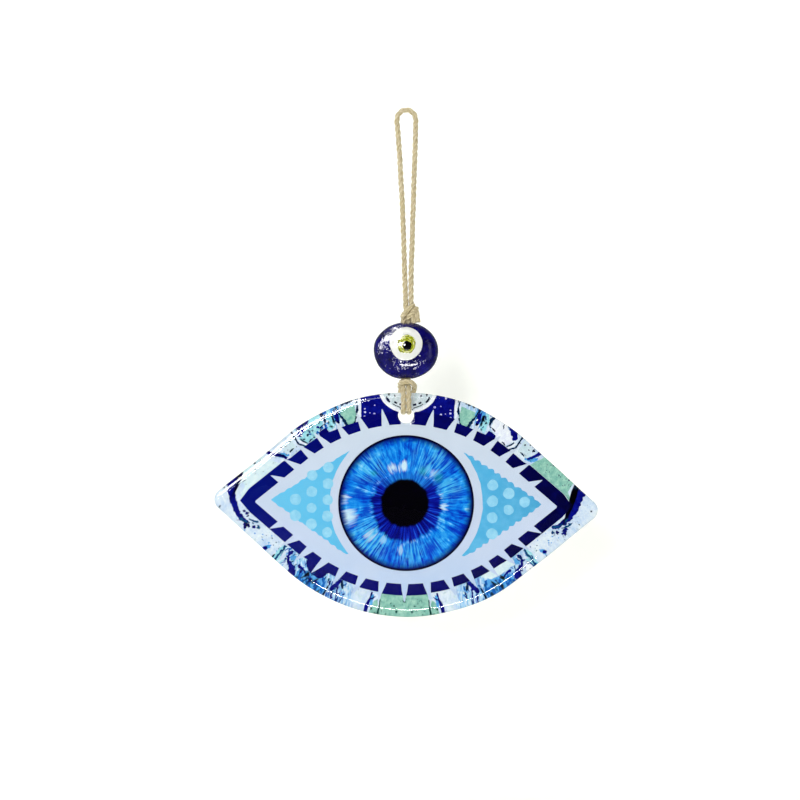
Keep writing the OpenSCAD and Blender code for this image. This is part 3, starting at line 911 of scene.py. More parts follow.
def scatter(border):
    """Small strokes and specks splashed over the streaked and mint parts."""
    rng = random.Random(11)
    for side in (-1, 1):
        for _ in range(95):
            x, z = rng.uniform(19.5, 45.5), rng.uniform(4.4, 11.6)
            if side > 0 and 27 < x < 39 and z < 6.8:
                continue
            ink_name = rng.choice(("cobalt", "deep_sky", "deep_sky", "aqua", "deep_dark", "sky"))
            tall, lean = rng.uniform(0.5, 1.9), rng.uniform(-0.5, 0.9)
            bend = rng.uniform(-0.2, 0.2)
            points = [(x - lean * 0.5, z - tall * 0.5), (x + bend, z), (x + lean * 0.5, z + tall * 0.5)]
            thick = rng.uniform(0.22, 0.62)
            border.lower(ink_name, stroke(points, [thick * 0.6, thick, thick * 0.5], 0.2, x), (side,))
        for _ in range(46):
            x, z = rng.uniform(21.5, 37.5), rng.uniform(3.6, 9.6)
            if side > 0 and x > 27:
                continue
            ink_name = rng.choice(("cobalt", "deep_sky", "aqua", "dark", "sky", "white"))
            size = rng.uniform(0.16, 0.5)
            tall = size * rng.uniform(0.7, 2.0)
            lean = rng.uniform(-0.2, 0.2)
            border.upper(ink_name, blob(x, z, size, tall, 0.5, x, 12, lean), (side,))
        for _ in range(34):
            x, z = rng.uniform(0.4, 10.5), rng.uniform(4.8, 11.6)
            size = rng.uniform(0.06, 0.16)
            border.lower("pine_dark", blob(x, z, size, size, 0.4, x, 7), (side,))
        for _ in range(40):
            x, z = rng.uniform(38.5, 62.5), rng.uniform(5.0, 10.2)
            size = rng.uniform(0.06, 0.17)
            border.upper("dark", blob(x, z, size * 1.3, size, 0.4, x, 7), (side,))
        for _ in range(60):
            x, z = rng.uniform(46.0, 63.0), rng.uniform(4.6, 11.0)
            size = rng.uniform(0.07, 0.24) * (1.5 if z < 7.5 and x > 54 else 1.0)
            ink_name = rng.choice(("deep_dark", "haze", "haze", "sky"))
            border.lower(ink_name, blob(x, z, size * 1.4, size, 0.5, x, 8), (side,))
        for _ in range(26):
            x, z = rng.uniform(12.5, 20.0), rng.uniform(4.6, 11.0)
            size = rng.uniform(0.12, 0.4)
            border.lower("haze", blob(x, z, size, size * 1.3, 0.5, x, 9), (side,))


def draw_scallop(border):
    """The round pale scallop at the top of the picture, behind the hole, with broken rings in it."""
    centre_z = 45.0

    def arc(r, a0, a1, steps=40):
        spots = [math.radians(a0 + (a1 - a0) * k / steps) for k in range(steps + 1)]
        return [(r * math.sin(a), centre_z - r * math.cos(a)) for a in spots]

    half_top = [(8.5, 38.36), (5.6, 38.74), (3.0, 38.95)]
    top = half_top + [(0.0, 39.05)] + [(-x, z) for x, z in reversed(half_top)]
    border.inks["scallop_line"] = [arc(12.3, -56, 56) + top]
    border.inks["scallop"] = [arc(11.1, -53, 53) + top[1:-1]]
    border.inks["ring"] = []
    for r, width, a0, a1 in ((10.5, 0.35, 12, 32), (10.6, 0.65, 38, 48), (9.5, 0.7, 12, 19),
            (9.6, 0.65, 24, 31), (9.4, 0.5, 45, 50), (8.2, 0.4, 33, 37), (8.9, 0.5, 58, 66),
            (11.0, 0.5, 57, 63)):
        for side in (-1, 1):
            outer = arc(r + width / 2, side * a0, side * a1, 10)
            inner = arc(r - width / 2, side * a0, side * a1, 10)
            border.inks["ring"].append(ragged(outer + inner[::-1], 0.08, r + side, 0.4)[::side])


def draw_tip_lines(border):
    """The cobalt line that bows round the outside of each corner of the eye, and the blots where it ends."""
    rim_line = stroke([(43.5, 15.6), (46.5, 16.9), (50.3, 17.2), (53.8, 16.3), (56.7, 14.3), (59.6, 11.8)],
        [0.9, 0.7, 0.6, 0.8, 0.8, 0.9], 0.3, 4)
    border.inks["cobalt"].append([(-x, z) for x, z in rim_line][::-1])
    for side, bow in (
        (-1, [(60.0, 11.6), (61.6, 9.5), (63.0, 6.6), (63.5, 3.2), (63.0, -0.2), (61.7, -3.6), (59.8, -6.4),
            (57.4, -8.2)]),
        (1, [(61.4, 8.4), (62.9, 6.2), (63.1, 3.8), (62.5, 1.6), (61.1, -1.9), (58.6, -5.2), (55.6, -7.4),
            (53.3, -8.2)]),
    ):
        drop = 0.0 if side < 0 else 0.6
        shapes = [
            stroke(bow, [1.2, 2.2, 2.6, 2.6, 2.3, 1.9, 1.5, 1.0], 0.4, 5 + side),
            blob(57.6, -9.0 - drop, 0.9, 0.9, 0.7, 9.0 + side, 14),
            stroke([(56.4, -6.8 - drop), (55.0, -7.6 - drop), (53.6, -7.8 - drop)], [0.3, 0.5, 0.6], 0.16,
                11 + side),
        ]
        for x, z, r in ((58.8, -3.8, 0.45), (57.7, -4.7, 0.5), (57.4, -5.7, 0.35), (55.2, -9.4, 0.45),
                (53.6, -9.2, 0.4), (59.6, -6.0, 0.4)):
            shapes.append(blob(x, z - drop, r * 1.2, r, 0.6, x, 12))
        border.inks["cobalt"] += [[(side * x, z) for x, z in shape][::side] for shape in shapes]
        specks = ((65.6, 3.8, 0.34), (67.2, -1.8, 0.3), (61.2, 6.0, 0.36), (59.4, 6.8, 0.18),
            (58.6, -11.4, 0.25), (62.8, -6.4, 0.2), (60.2, -10.6, 0.16))
        for x, z, r in specks:
            border.inks["dark"].append([(side * q, w) for q, w in blob(x, z, r, r, 0.5, x, 9)][::side])


BORDER_INKS = {
    # name: (layer, darker and lighter colour, how mottled)
    "frost": (1, (206, 230, 240), (230, 244, 246), 0.5),
    "haze": (1, (190, 216, 226), (222, 236, 244), 0.8),
    "mint": (2, (104, 172, 158), (172, 218, 200), 0.7),
    "pine": (2, (62, 118, 96), (128, 176, 150), 0.6),
    "aqua": (3, (128, 208, 226), (182, 232, 238), 0.6),
    "sky": (3, (34, 126, 214), (112, 192, 240), 0.9),
    "deep_sky": (4, (8, 62, 164), (30, 118, 204), 0.9),
    "cobalt": (5, (3, 2, 100), (8, 18, 138), 0.45),
    "navy": (5, (2, 2, 84), (6, 8, 112), 0.4),
    "violet": (6, (40, 28, 92), (92, 78, 150), 0.6),
    # Painted shade: a grey for the very edge of the border, under the rounded rim
    "rim_grey": (2, (104, 132, 150), (178, 202, 208), 0.9),
    "white": (6, (226, 230, 246), (246, 250, 253), 0.5),
    "dark": (7, (4, 18, 56), (10, 52, 92), 0.6),
    "deep_dark": (7, (6, 40, 104), (22, 92, 140), 0.8),
    "pine_dark": (7, (6, 44, 44), (24, 92, 84), 0.6),
    "petal": (7, (176, 170, 236), (222, 220, 250), 0.3),
    "scallop_line": (7, (234, 236, 248), (250, 252, 254), 0.3),
    "scallop": (8, (196, 214, 220), (232, 238, 246), 0.5),
    "ring": (9, (6, 10, 40), (24, 34, 74), 0.5),
}


def border_ink(name, dark, light_colour, mottle):
    paint = Paint("print_" + name)
    place = paint.on_plate()
    patches = paint.noise(0.55, 4, 0.6, place, 0.6)
    grain = paint.noise(2.4, 2, 0.5, place)
    tone = paint.calc("MULTIPLY_ADD", paint.calc("SUBTRACT", grain, 0.5), 0.35, patches)
    edge = 0.5 - 0.32 * mottle
    paint.base(paint.ramp(tone, [(edge, dark), (1 - edge, light_colour)]))
    return print_finish(paint)


def border_ground():
    """The pale ground of the border: mottled blue-white, with blue streaks low down at each side."""
    paint = Paint("print_border_ground")
    place = paint.on_plate()
    u, _, v = paint.split(place)
    clouds = paint.noise(0.22, 4, 0.6, place, 0.8)
    fine = paint.noise(1.3, 4, 0.6, place)
    colour = paint.ramp(paint.calc("MULTIPLY_ADD", fine, 0.4, paint.calc("MULTIPLY", clouds, 0.7)), [
        (0.36, (172, 204, 236)), (0.48, (202, 220, 242)), (0.58, (218, 231, 246)), (0.72, (234, 243, 249)),
    ])
    across = paint.calc("ABSOLUTE", u)
    low_down = paint.step(v, -14.0, -10.0, 1.0, 0.0)
    streaked = paint.calc("MULTIPLY", paint.band(across, 19.0, 42.0, 1.6), low_down)
    spot = paint.node("ShaderNodeVectorMath", {0: place, 1: (1.5, 1.0, 0.35)},
        operation="MULTIPLY").outputs[0]
    streaks = paint.noise(1.0, 3, 0.6, spot, 0.5)
    blue = paint.ramp(streaks, [(0.40, (214, 232, 248)), (0.50, (120, 196, 240)), (0.60, (44, 130, 214)),
        (0.70, (14, 50, 160))])
    colour = paint.mix(paint.calc("MULTIPLY", streaked, 0.75), colour, blue)
    upper = paint.calc("MULTIPLY", paint.band(across, 21.0, 38.0, 1.5), paint.step(v, 10.0, 14.0))
    colour = paint.mix(paint.calc("MULTIPLY", upper, paint.step(streaks, 0.48, 0.6, 0.0, 0.6)), colour,
        (96, 172, 226))
    specks = paint.noise(1.5, 2, 0.5, place)
    colour = paint.mix(paint.step(specks, 0.68, 0.73, 0.0, 0.55), colour, (70, 96, 130))
    paint.base(colour)
    return print_finish(paint)


LASH_FEET = (8.0, 15.7, 23.2, 30.4, 37.3, 43.7, 51.1)
LASH_TIPS = (8.5, 16.9, 24.3, 32.2, 38.9, 46.1, 53.4)
LASH_HEIGHTS = (5.4, 5.8, 5.6, 5.6, 5.8, 4.8, 2.9)


def lashes():
    shapes = []
    for side in (-1, 1):
        for up in (-1, 1):
            for foot, tip, tall in zip(LASH_FEET, LASH_TIPS, LASH_HEIGHTS):
                tall += 0.0 if up > 0 else 0.9
                base = -1.4 if up > 0 else -0.6
                outline = []
                for share, half in ((0.0, 1.55), (0.3, 1.15), (0.6, 0.72), (0.85, 0.34), (1.0, 0.08)):
                    outline.append((foot + (tip - foot) * share, base * (1 - share) + tall * share, half))
                shape = [sclera_point(x - half, z, side, up) for x, z, half in outline]
                shape += [sclera_point(x + half, z, side, up) for x, z, half in reversed(outline)]
                shapes.append(shape[::side * up])
    shapes.append([(-1.4, -28.6), (-1.0, -32.0), (-0.1, -36.0), (0.1, -36.0), (1.0, -32.0),
        (1.4, -28.6)][::-1])
    return shapes


# How far the navy band reaches out, as (distance along the eye's edge, reach), above (1) and below (-1)
BAND = {
    1: ((0, 4.0), (16, 4.0), (16.6, 2.7), (26.0, 2.9), (30.0, 3.5), (44.0, 3.4), (46.6, 4.1), (70, 4.1)),
    -1: ((0, 4.2), (8.0, 4.2), (9.0, 3.8), (15.5, 3.8), (17.0, 3.4), (35, 3.4), (40, 4.0), (70, 4.0)),
}


def band_depth(s, up):
    for (s0, d0), (s1, d1) in zip(BAND[up], BAND[up][1:]):
        if s <= s1:
            return d0 + (d1 - d0) * (s - s0) / (s1 - s0)


def navy_band():
    """The band's outline, which comes to a point beside each corner of the eye."""
    reach = sclera_shape.length - 0.6
    corner = sclera_shape.tip_x + 6.2
    stations = [reach * (1 - k / 90) for k in range(91)]
    top, bottom = [[sclera_point(s, band_depth(s, up), 1, up) for s in stations] for up in (1, -1)]
    outline = [(corner, SCLERA_V + 0.3)] + top + [(-x, z) for x, z in reversed(top[:-1])]
    return outline + [(-corner, SCLERA_V + 0.3)] + [(-x, z) for x, z in bottom] + bottom[-2::-1]


def triangles_and_dots():
    """Sky-blue triangles either side of the iris, with scalloped edges, and their rows of paler dots."""
    inner_r, tip, low_z, high_z = 27.8, 49.2, -19.2, 18.8
    triangles, dots = [], []
    for side in (-1, 1):
        start, end = (21.0, low_z), (20.6, high_z)
        a0, a1 = math.atan2(start[1], start[0]), math.atan2(end[1], end[0])
        shape = []
        for k in range(33):
            a = a1 + (a0 - a1) * k / 32
            r = inner_r + 0.5 * max(0.0, noise.noise(Vector((side * 3.0, a * 9, 0.0))))
            shape.append((side * r * math.cos(a), r * math.sin(a)))
        for (x0, z0), (x1, z1) in ((start, (tip, 0.4)), ((tip, 0.4), end)):
            run = math.dist((x0, z0), (x1, z1))
            nx, nz = (z1 - z0) / run, -(x1 - x0) / run
            for k in range(1, 80):
                t = k / 80
                fade = min(1, 8 * t, 8 * (1 - t))
                scallop = (0.75 if side > 0 else 0.3) * abs(math.sin(math.pi * t * run / 2.9)) * fade
                scallop += 0.5 * noise.noise(Vector((t * run * 0.5, side * 5.0, z0))) * fade
                shape.append((side * (x0 + t * (x1 - x0) + nx * scallop), z0 + t * (z1 - z0) + nz * scallop))
            if z0 < 0:
                shape.append((side * tip, 0.4))
        triangles.append(shape[::side])
        for column in range(4):
            x = 28.5 + 5.85 * column + (2.9 if side > 0 else 0.0)
            for row in range(-3, 4):
                z = 0.7 + 5.9 * row + (2.9 if column % 2 else 0.0) + (0.5 if side > 0 else 0.0)
                room = (tip - x) * 19.0 / (tip - 20.8)
                if abs(z - 0.2) < room - 0.6 and math.hypot(x, z) > inner_r + 0.6:
                    r = 1.95 + 0.25 * noise.noise(Vector((x, z, side * 9.0)))
                    dots.append(blob(side * x, z, r, r, 0.07, x + z, 28))
    return triangles, dots


def eye_print():
    border = Border()
    draw_upper(border)
    draw_rim_shade(border)
    draw_lower(border)
    scatter(border)
    draw_scallop(border)
    draw_tip_lines(border)
    film_outline = plate_shape.outline(FILM_MARGIN)
    ground = ink("eye_print_ground", [film_outline], 0, border_ground(), True, FILM_BACK_Y - 0.01, False)
    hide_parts("printed_film")
    crossing = ("cobalt", "scallop_line", "scallop")
    for name, (layer, *look) in BORDER_INKS.items():
        ink("eye_print_" + name, border.inks[name], layer, border_ink(name, *look), name in crossing)
    pale = sclera_ink()
    ink("eye_print_navy_band", [navy_band()], 10, navy_ink(), True)
    ink("eye_print_lashes", lashes(), 11, pale)
    ink("eye_print_white_of_eye", [[(u, v + SCLERA_V) for u, v in sclera_shape.outline(0.0)]], 12, pale, True)
    triangles, dots = triangles_and_dots()
    ink("eye_print_sky_triangles", triangles, 13, sky_ink())
    ink("eye_print_pale_dots", dots, 14, dot_ink())
    angles = [math.tau * k / 160 for k in range(160)]
    ink("eye_print_iris", [[(IRIS_R * math.cos(a), IRIS_R * math.sin(a)) for a in angles]], 14, iris_ink())


def backing_material():
    paint = Paint("white_backing_sheet", roughness=0.6)
    fibre = paint.noise(0.6, 5, 0.7)
    patches = paint.noise(0.04, 3)
    colour = paint.ramp(fibre, [(0.3, (226, 229, 228)), (0.7, (240, 242, 241))])
    paint.base(paint.mix(paint.step(patches, 0.4, 0.7, 0, 0.4), colour, (222, 224, 218)))
    paint.bump(fibre, 0.05)
    paint.rough(paint.ramp(patches, [(0.3, grey(0.5)), (0.7, grey(0.65))]))
    return paint.material


def backing_sheet():
    levels = []
    for inset, y in ((0.0, backing_low.y), (0.0, BACK_Y - 0.08), (0.12, BACK_Y)):
        levels.append([plate_point(u, v, y) for u, v in plate_shape.outline(FILM_MARGIN + inset)])
    piece = mesh_object("white_backing", *loft(levels))
    cut(piece, [film_hole()])
    smooth_by_angle(piece, 30)
    finish_piece(piece, "plate", backing_material(), ["backing_sheet"])


# ---------------------------------------------------------------- bead

BEAD_W, BEAD_H, BEAD_T = 23.4, 20.8, 12.0
PEBBLE_POWER = 2.4
BORE_R = 2.4
DOT_Z = BEAD_Z + 2.6


def pebble_y(x, z):
    """Height of the bead's face above its middle plane at a place in that plane."""
    rho = math.hypot(x / (BEAD_W / 2), (z - BEAD_Z) / (BEAD_H / 2))
    return BEAD_T / 2 * max(0.0, 1 - rho ** PEBBLE_POWER) ** (1 / PEBBLE_POWER)


def bead_glass(name, low, high, wave=0.16):
    paint = Paint(name, ior=1.5, coat_weight=0.5, coat_roughness=0.02)
    cloud = paint.noise(0.22, 4, 0.6)
    paint.base(paint.ramp(cloud, [(0.35, low), (0.7, high)]))
    ripples = paint.noise(0.85, 1, 0.5, distortion=1.0)
    broad = paint.noise(0.26, 1, 0.5)
    paint.bump(paint.calc("MULTIPLY_ADD", ripples, 0.42, broad), wave * 3.2)
    paint.rough(paint.ramp(paint.noise(1.2, 3), [(0.3, grey(0.01)), (0.8, grey(0.05))]))
    return paint


def bead():
    rings, around = 40, 96
    verts, faces = [(0, -BEAD_T / 2, BEAD_Z)], []

    def point(rho, a, sign):
        x = rho * BEAD_W / 2 * math.cos(a)
        z = rho * BEAD_H / 2 * math.sin(a)
        y = sign * BEAD_T / 2 * max(0.0, 1 - rho ** PEBBLE_POWER) ** (1 / PEBBLE_POWER)
        dent = 1 + 0.026 * noise.noise(Vector((x * 0.13, y * 0.2, z * 0.13 + 2.0)))
        return (x * dent, y * dent, BEAD_Z + z * dent)

    levels = []
    for k in range(1, 2 * rings):
        t = k / rings
        front = t <= 1
        angle = math.pi / 2 * (t if front else 2 - t)
        rho = math.sin(angle) ** (2 / PEBBLE_POWER) if angle < math.pi / 2 else 1.0
        levels.append([point(rho, math.tau * i / around, -1 if front else 1) for i in range(around)])
    verts += [p for level in levels for p in level]
    verts.append((0, BEAD_T / 2, BEAD_Z))
    for i in range(around):
        n = (i + 1) % around
        faces.append((0, 1 + i, 1 + n))
        for k in range(len(levels) - 1):
            a, b = 1 + k * around + i, 1 + k * around + n
            faces.append((a, a + around, b + around, b))
        last = 1 + (len(levels) - 1) * around
        faces.append((last + n, last + i, len(verts) - 1))
    piece = mesh_object("bead_cobalt_body", verts, faces)
    bore = drill(0, 0, [(-20, BORE_R), (20, BORE_R)], 48)
    bore.data.transform(Matrix.Rotation(math.radians(90), 4, "X"))
    bore.data.transform(Matrix.Translation((0, 0, BEAD_Z * SCALE)))
    cut(piece, [bore])
    smooth_by_angle(piece, 40)
    body = bead_glass("cobalt_glass", (4, 2, 62), (16, 10, 116))
    finish_piece(piece, "bead", body.material, ["bead_body"])


def melted_dot(name, cad_node, material, radius, rise, x0=0.0, z0=DOT_Z, ragged=0.0):
    """A gather of glass melted on to the bead's face: a thin lens with a rounded rim."""
    rings, around = 14, 96
    profile = [(k / rings, 1.0) for k in range(rings)]
    for degrees in (0, 30, 60, 90):
        a = math.radians(degrees)
        profile.append((1 + 0.035 * math.sin(a), math.cos(a)))
    verts, faces = [], []
    for share, lift in profile:
        for i in range(around):
            a = math.tau * i / around
            wave = 1 + ragged * noise.noise(Vector((math.cos(a) * 1.7, math.sin(a) * 1.7, radius)))
            x = x0 + radius * share * wave * math.cos(a)
            z = z0 + radius * share * wave * math.sin(a)
            dome = rise * lift * (1 - 0.35 * min(1, share) ** 2)
            verts.append((x, -pebble_y(x, z) - dome, z))
    levels = len(profile)
    for k in range(levels - 1):
        for i in range(around):
            n = (i + 1) % around
            a, b = k * around + i, k * around + n
            faces.append((a, a + around, b + around, b))
    base = len(verts)
    for i in range(around):
        x, _, z = verts[(levels - 1) * around + i]
        verts.append((x, -pebble_y(x, z) + 0.9, z))
    for i in range(around):
        n = (i + 1) % around
        a, b = (levels - 1) * around + i, (levels - 1) * around + n
        faces.append((a, base + i, base + n, b))
    faces.append(tuple(range(base + around - 1, base - 1, -1)))
    piece = mesh_object(name, verts, faces)
    edit = bmesh.new()
    edit.from_mesh(piece.data)
    bmesh.ops.remove_doubles(edit, verts=edit.verts, dist=1e-6)
    bmesh.ops.recalc_face_normals(edit, faces=edit.faces)
    edit.to_mesh(piece.data)
    edit.free()
    smooth_by_angle(piece, 60)
    finish_piece(piece, "bead", material, [cad_node])


def bead_dots():
    white = bead_glass("white_glass", (232, 234, 228), (248, 248, 244), 0.05)
    melted_dot("bead_white_disc", "bead_white_dot", white.material, 5.8, 0.28,
        z0=DOT_Z - 0.1, ragged=0.04)
    iris = bead_glass("yellow_green_glass", (120, 132, 20), (222, 218, 120), 0.05)
    here = iris.split(iris.mm())
    dx, dz = iris.calc("SUBTRACT", here[0], 0.2), iris.calc("SUBTRACT", here[2], DOT_Z - 0.6)
    patch = iris.noise(0.8, 3, 0.6, distortion=0.8)
    reach = iris.calc("MULTIPLY", iris.length(dx, dz), 7.0)
    rings = iris.calc("SINE", iris.calc("MULTIPLY_ADD", patch, 11.0, reach))
    pool = iris.ramp(patch, [(0.36, (160, 172, 28)), (0.50, (202, 206, 70)), (0.64, (238, 238, 190))])
    iris.base(iris.mix(iris.step(rings, 0.25, 0.8, 0.0, 0.85), pool, (84, 92, 22)))
    melted_dot("bead_iris_ring", "bead_iris_dot", iris.material, 3.45, 0.40,
        z0=DOT_Z - 0.3, ragged=0.16)
    black = bead_glass("black_glass", (2, 2, 6), (10, 10, 22), 0.03)
    melted_dot("bead_black_pupil", "bead_pupil_dot", black.material, 1.8, 0.52, x0=0.3,
        z0=DOT_Z - 0.75, ragged=0.10)


# ---------------------------------------------------------------- twine

PLY_COUNT = 3
PLY_PITCH = 7.4
ROUTE_STEP = 0.4


def catmull(points, step=ROUTE_STEP):
    """A smooth curve through the points, as evenly spaced points a step apart."""
    p = [Vector(q) for q in points]
    p = [2 * p[0] - p[1]] + p + [2 * p[-1] - p[-2]]
    fine = []
    for i in range(1, len(p) - 2):
        for k in range(24):
            t = k / 24
            fine.append(0.5 * (
                2 * p[i] + (p[i + 1] - p[i - 1]) * t
                + (2 * p[i - 1] - 5 * p[i] + 4 * p[i + 1] - p[i + 2]) * t * t
                + (3 * p[i] - p[i - 1] - 3 * p[i + 1] + p[i + 2]) * t ** 3))
    fine.append(p[-2])
    route, left = [fine[0]], step
    for a, b in zip(fine, fine[1:]):
        run = (b - a).length
        while run >= left and run > 0:
            a = a + (b - a) * (left / run)
            route.append(a)
            run -= left
            left = step
        left -= run
    route.append(fine[-1])
    return route


def carried_frames(route):
    """Two directions square to the route at each point, carried along it without twist."""
    out, side = [], None
    for i, p in enumerate(route):
        along = (route[min(i + 1, len(route) - 1)] - route[max(i - 1, 0)]).normalized()
        if side is None:
            side = along.cross(Vector((0.1, 1, 0.05))).normalized()
        side = (side - along * side.dot(along)).normalized()
        out.append((along, side, along.cross(side)))
    return out


def twine_rope(name, points, diameter=TWINE_D, turn=0.0, sides=10, fuzz=0.35, seed=1, cap_splay=0.0):
    """Three plies laid round each other along a smooth route, with a few stray fibres."""
    route = catmull(points)
    frames = carried_frames(route)
    verts, faces, fibre = [], [], []
    r = diameter / 2
    ply_r, lay_r = 0.54 * r, 0.47 * r
    rng = random.Random(seed)
    for ply in range(PLY_COUNT):
        start = len(verts)
        for i, p in enumerate(route):
            along, side, across = frames[i]
            s = i * ROUTE_STEP
            a = math.tau * (s / PLY_PITCH + ply / PLY_COUNT) + turn
            end = min(i, len(route) - 1 - i) * ROUTE_STEP
            splay = 1 + cap_splay * max(0.0, 1 - end)
            out = side * math.cos(a) + across * math.sin(a)
            around = -side * math.sin(a) + across * math.cos(a)
            swell = 1 + 0.07 * noise.noise(Vector((s * 0.35, ply * 7.0 + seed, 0.0)))
            c = p + out * lay_r * splay
            for k in range(sides):
                b = math.tau * k / sides
                q = c + (out * math.cos(b) + around * math.sin(b)) * ply_r * swell
                verts.append(q)
                fibre.append((math.cos(b) * ply_r + ply * 5, math.sin(b) * ply_r, s * 0.12 + seed))
        for i in range(len(route) - 1):
            for k in range(sides):
                n = (k + 1) % sides
                a, b = start + i * sides + k, start + i * sides + n
                faces.append((a, b, b + sides, a + sides))
        last = start + (len(route) - 1) * sides
        faces.append(tuple(range(start + sides - 1, start - 1, -1)))
        faces.append(tuple(range(last, last + sides)))
    hairs = int(len(route) * ROUTE_STEP * fuzz)
    for _ in range(hairs):
        i = rng.randrange(2, len(route) - 2)
        along, side, across = frames[i]
        a = rng.uniform(0, math.tau)
        out = side * math.cos(a) + across * math.sin(a)
        sweep = (along * rng.uniform(-1, 1) + side.cross(out) * 0.2).normalized()
        reach, lean = rng.uniform(0.25, 0.8), rng.uniform(0.6, 1.8)
        p0 = route[i] + out * r * 0.8
        p1 = p0 + out * reach * 0.5 + sweep * lean * 0.5
        p2 = p0 + out * reach * rng.uniform(0.4, 1.0) + sweep * lean
        start = len(verts)
        wide = out.cross(sweep)
        high = sweep.cross(wide)
        for p, thin in ((p0, 0.035), (p1, 0.03), (p2, 0.012)):
            for k in range(3):
                b = math.tau * k / 3
                verts.append(p + (wide * math.cos(b) + high * math.sin(b)) * thin)
                fibre.append((k, 0.0, i * 0.05 + seed))
        for level in (start, start + 3):
            for k in range(3):
                a, b = level + k, level + (k + 1) % 3
                faces.append((a, b, b + 3, a + 3))
        faces.append((start + 2, start + 1, start))
        faces.append((start + 6, start + 7, start + 8))
    piece = mesh_object(name, verts, faces)
    attribute = piece.data.attributes.new("fibre", "FLOAT_VECTOR", "POINT")
    attribute.data.foreach_set("vector", [c for row in fibre for c in row])
    return piece, route


def twine_material():
    paint = Paint("natural_twine", roughness=0.7, sheen_weight=0.25, sheen_roughness=0.5,
        specular_ior_level=0.3)
    lay = paint.attribute("fibre")
    strands = paint.noise(5.5, 4, 0.65, lay, 0.2)
    tone = paint.noise(0.25, 3, 0.6)
    colour = paint.ramp(strands, [
        (0.26, (110, 86, 48)), (0.40, (176, 156, 112)), (0.54, (220, 206, 168)), (0.70, (246, 236, 210)),
    ])
    paint.base(paint.mix(paint.step(tone, 0.35, 0.7, 0, 0.4), colour, (196, 182, 128)))
    paint.bump(strands, 0.16)
    paint.rough(paint.ramp(strands, [(0.3, grey(0.75)), (0.7, grey(0.5))]))
    return paint.material


# The same routes as the CAD model's tubes
LOOP = [
    (-0.1, 0, -70.2), (-0.3, 0, -64), (-0.6, 0, -56), (-0.8, 0, -48), (-1.1, 0, -40),
    (-1.4, 0, -32), (-1.9, 0, -24), (-2.3, 0, -16), (-2.8, 0, -9), (-3.2, 0, -4.5),
    (-3.3, 0, -2.4), (-2.8, 0, -0.7), (-1.6, 0, 0.5), (0.1, 0, 1), (1.8, 0, 0.5), (3, 0, -0.7), (3.5, 0,
        -2.4),
    (3.5, 0, -4.5), (3.4, 0, -9), (3.2, 0, -16), (2.9, 0, -24), (2.7, 0, -32),
    (2.4, 0, -40), (2.2, 0, -48), (1.9, 0, -56), (1.8, 0, -64), (1.9, 0, -70.2),
]
# The hitch leans to the right, so its halves differ a little from the CAD model's mirrored ones
HITCH = [
    (-0.95, 0, -96.4), (-0.95, -0.8, -98.6), (-0.95, -1.9, -100.2), (-0.95, -2.8, -101.8),
    (-0.95, -3.35, -104), (-0.95, -3.35, -106.8), (-1, -3, -108), (-1, -1.8, -108.75),
    (-1, 1.8, -108.75), (-1.05, 3, -108), (-1.1, 3.35, -106.8), (-1.4, 3.35, -104.2),
    (-1.9, 3.2, -101.6), (-2.1, 2.4, -100.0), (-2.15, 1.0, -99.1), (-2.1, -0.6, -98.5),
    (-1.7, -1.9, -98.1), (-0.8, -2.8, -97.85), (0.3, -3.1, -97.8), (1.5, -2.8, -98.05),
    (2.5, -1.9, -98.6), (2.95, -0.6, -99.2), (3.05, 1.0, -99.7), (2.9, 2.4, -100.5),
    (2.5, 3.3, -102), (1.8, 3.35, -104.2), (1.1, 3.35, -106.8), (1.05, 3, -108),
    (1, 1.8, -108.75), (1, -1.8, -108.75), (1, -3, -108), (0.95, -3.35, -106.8),
    (0.95, -3.35, -104), (0.95, -2.8, -101.8), (0.95, -1.9, -100.2), (0.95, -0.8, -98.6), (0.95, 0, -96.4),
]
BEAD_STRAND = [(-0.6, 0, -72.6), (-1, 0, -76), (-1, 0, -85), (-1, 0, -96.6)]


def hanging_loop(material):
    piece, route = twine_rope("twine_hanging_loop_laid", LOOP, seed=3)
    finish_piece(piece, None, material, ["twine_hanging_loop"])
    return piece, route


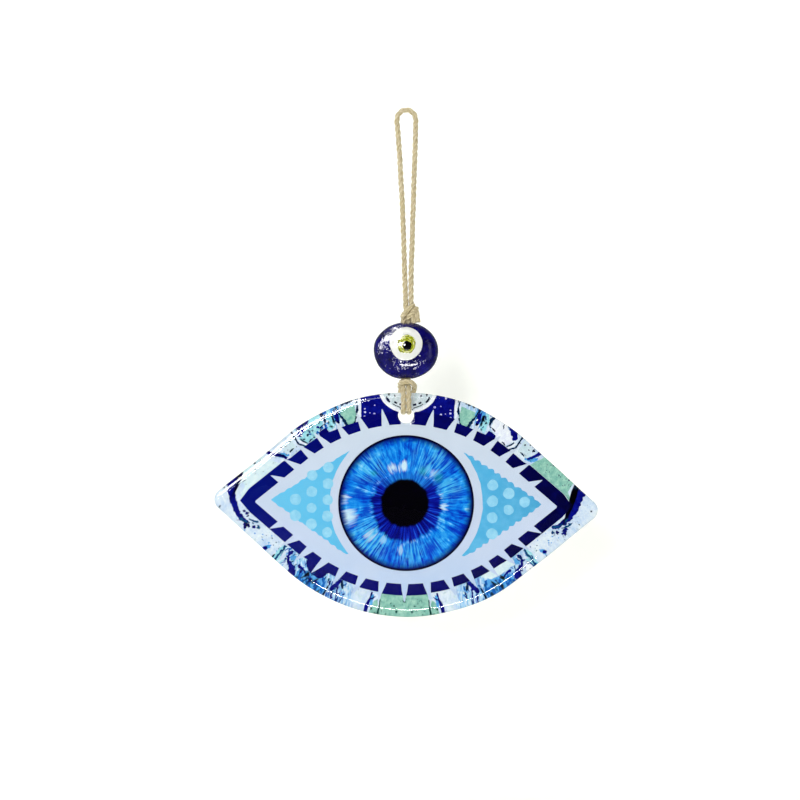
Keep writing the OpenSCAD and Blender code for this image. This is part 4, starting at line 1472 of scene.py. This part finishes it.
def knots(material):
    """Overhand knot above the bead, its trimmed ends, and the strands through the bead."""
    middle = Vector((1.35, 0.1, -72.5))
    along = Vector((math.cos(math.radians(50)), 0, math.sin(math.radians(50))))
    square = Vector((-along.z, 0, along.x))
    parts = []
    for number, shift in enumerate((-0.9, 0.95)):
        wrap = []
        for k in range(17):
            a = math.radians(-200 + 400 * k / 16)
            reach = 2.5 + 0.25 * number
            forward = Vector((0, -1.65 * math.cos(a), 0))
            wrap.append(middle + along * reach * math.sin(a) + forward + square * shift)
        wrap[0] = middle + Vector((0.2, 0.7, 0.4))
        wrap[-1] = middle + Vector((-0.3, 0.6, -0.2))
        parts.append((f"twine_knot_wrap_{number + 1}", wrap))
    parts.append(("twine_knot_core_left", [(-0.1, 0.1, -69.4), (0.0, 0.1, -71.4), (-0.2, 0.3, -73.6),
        (-0.5, 0.1, -75.0), (-0.9, 0, -76.6)]))
    parts.append(("twine_knot_core_right", [(1.9, 0, -69.4), (2.2, 0.1, -70.8), (2.7, 0.4, -72.8),
        (1.9, 0.4, -75.0), (1, 0.1, -76.6)]))
    parts.append(("twine_knot_flank", [(2.2, 0.3, -70.6), (3.4, -0.3, -71.9), (4.1, -0.3, -73.6),
        (3.4, 0.6, -75.3), (1.6, 0.9, -75.5), (0.4, 0.6, -74.4)]))
    made = []
    for number, (name, points) in enumerate(parts):
        piece, _ = twine_rope(name, points, seed=11 + number, fuzz=0.5)
        finish_piece(piece, "line", material, ["twine_upper_knot"] if number == 0 else ())
        made.append(piece)
    tails = [
        ("twine_tail_right", [(2.2, -0.4, -72.6), (2.3, -1.1, -73.9), (2.7, -1.5, -75.2),
            (3.1, -1.6, -76.6)], 0.0),
        ("twine_tail_outer", [(3.3, -0.4, -73.0), (4.0, -0.9, -74.2), (4.3, -1.1, -75.3),
            (4.2, -1.2, -76.2)], 1.2),
        ("twine_tail_left", [(0.4, 0.9, -73.2), (-0.5, 0.6, -74.2), (-0.9, 0.5, -75.5)], 0.6),
    ]
    for number, (name, points, turn) in enumerate(tails):
        piece, _ = twine_rope(name, points, TWINE_D * 0.95, turn, seed=31 + number, fuzz=1.2, cap_splay=0.25)
        finish_piece(piece, "line", material, ["twine_cut_ends"] if number == 0 else ())
        made.append(piece)
    for number, side in enumerate((1, -1)):
        points = [(side * x, y, z) for x, y, z in BEAD_STRAND]
        piece, _ = twine_rope(f"twine_through_bead_{number + 1}", points, seed=41 + number, fuzz=0)
        finish_piece(piece, "line", material, ["twine_bead_strands"] if number == 0 else ())
    return made


def hitch(material):
    piece, _ = twine_rope("twine_lark_head", HITCH, seed=51)
    finish_piece(piece, "hitch", material, ["twine_hitch"])


# ---------------------------------------------------------------- assembly

camera()
lighting()
backdrop()
bpy.context.scene.view_settings.view_transform = "Standard"

twine = twine_material()
loop, loop_route = hanging_loop(twine)
knot_pieces = knots(twine)
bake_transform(loop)
hitch(twine)

bead()
bead_dots()
eye_print()
backing_sheet()
glass_plate()
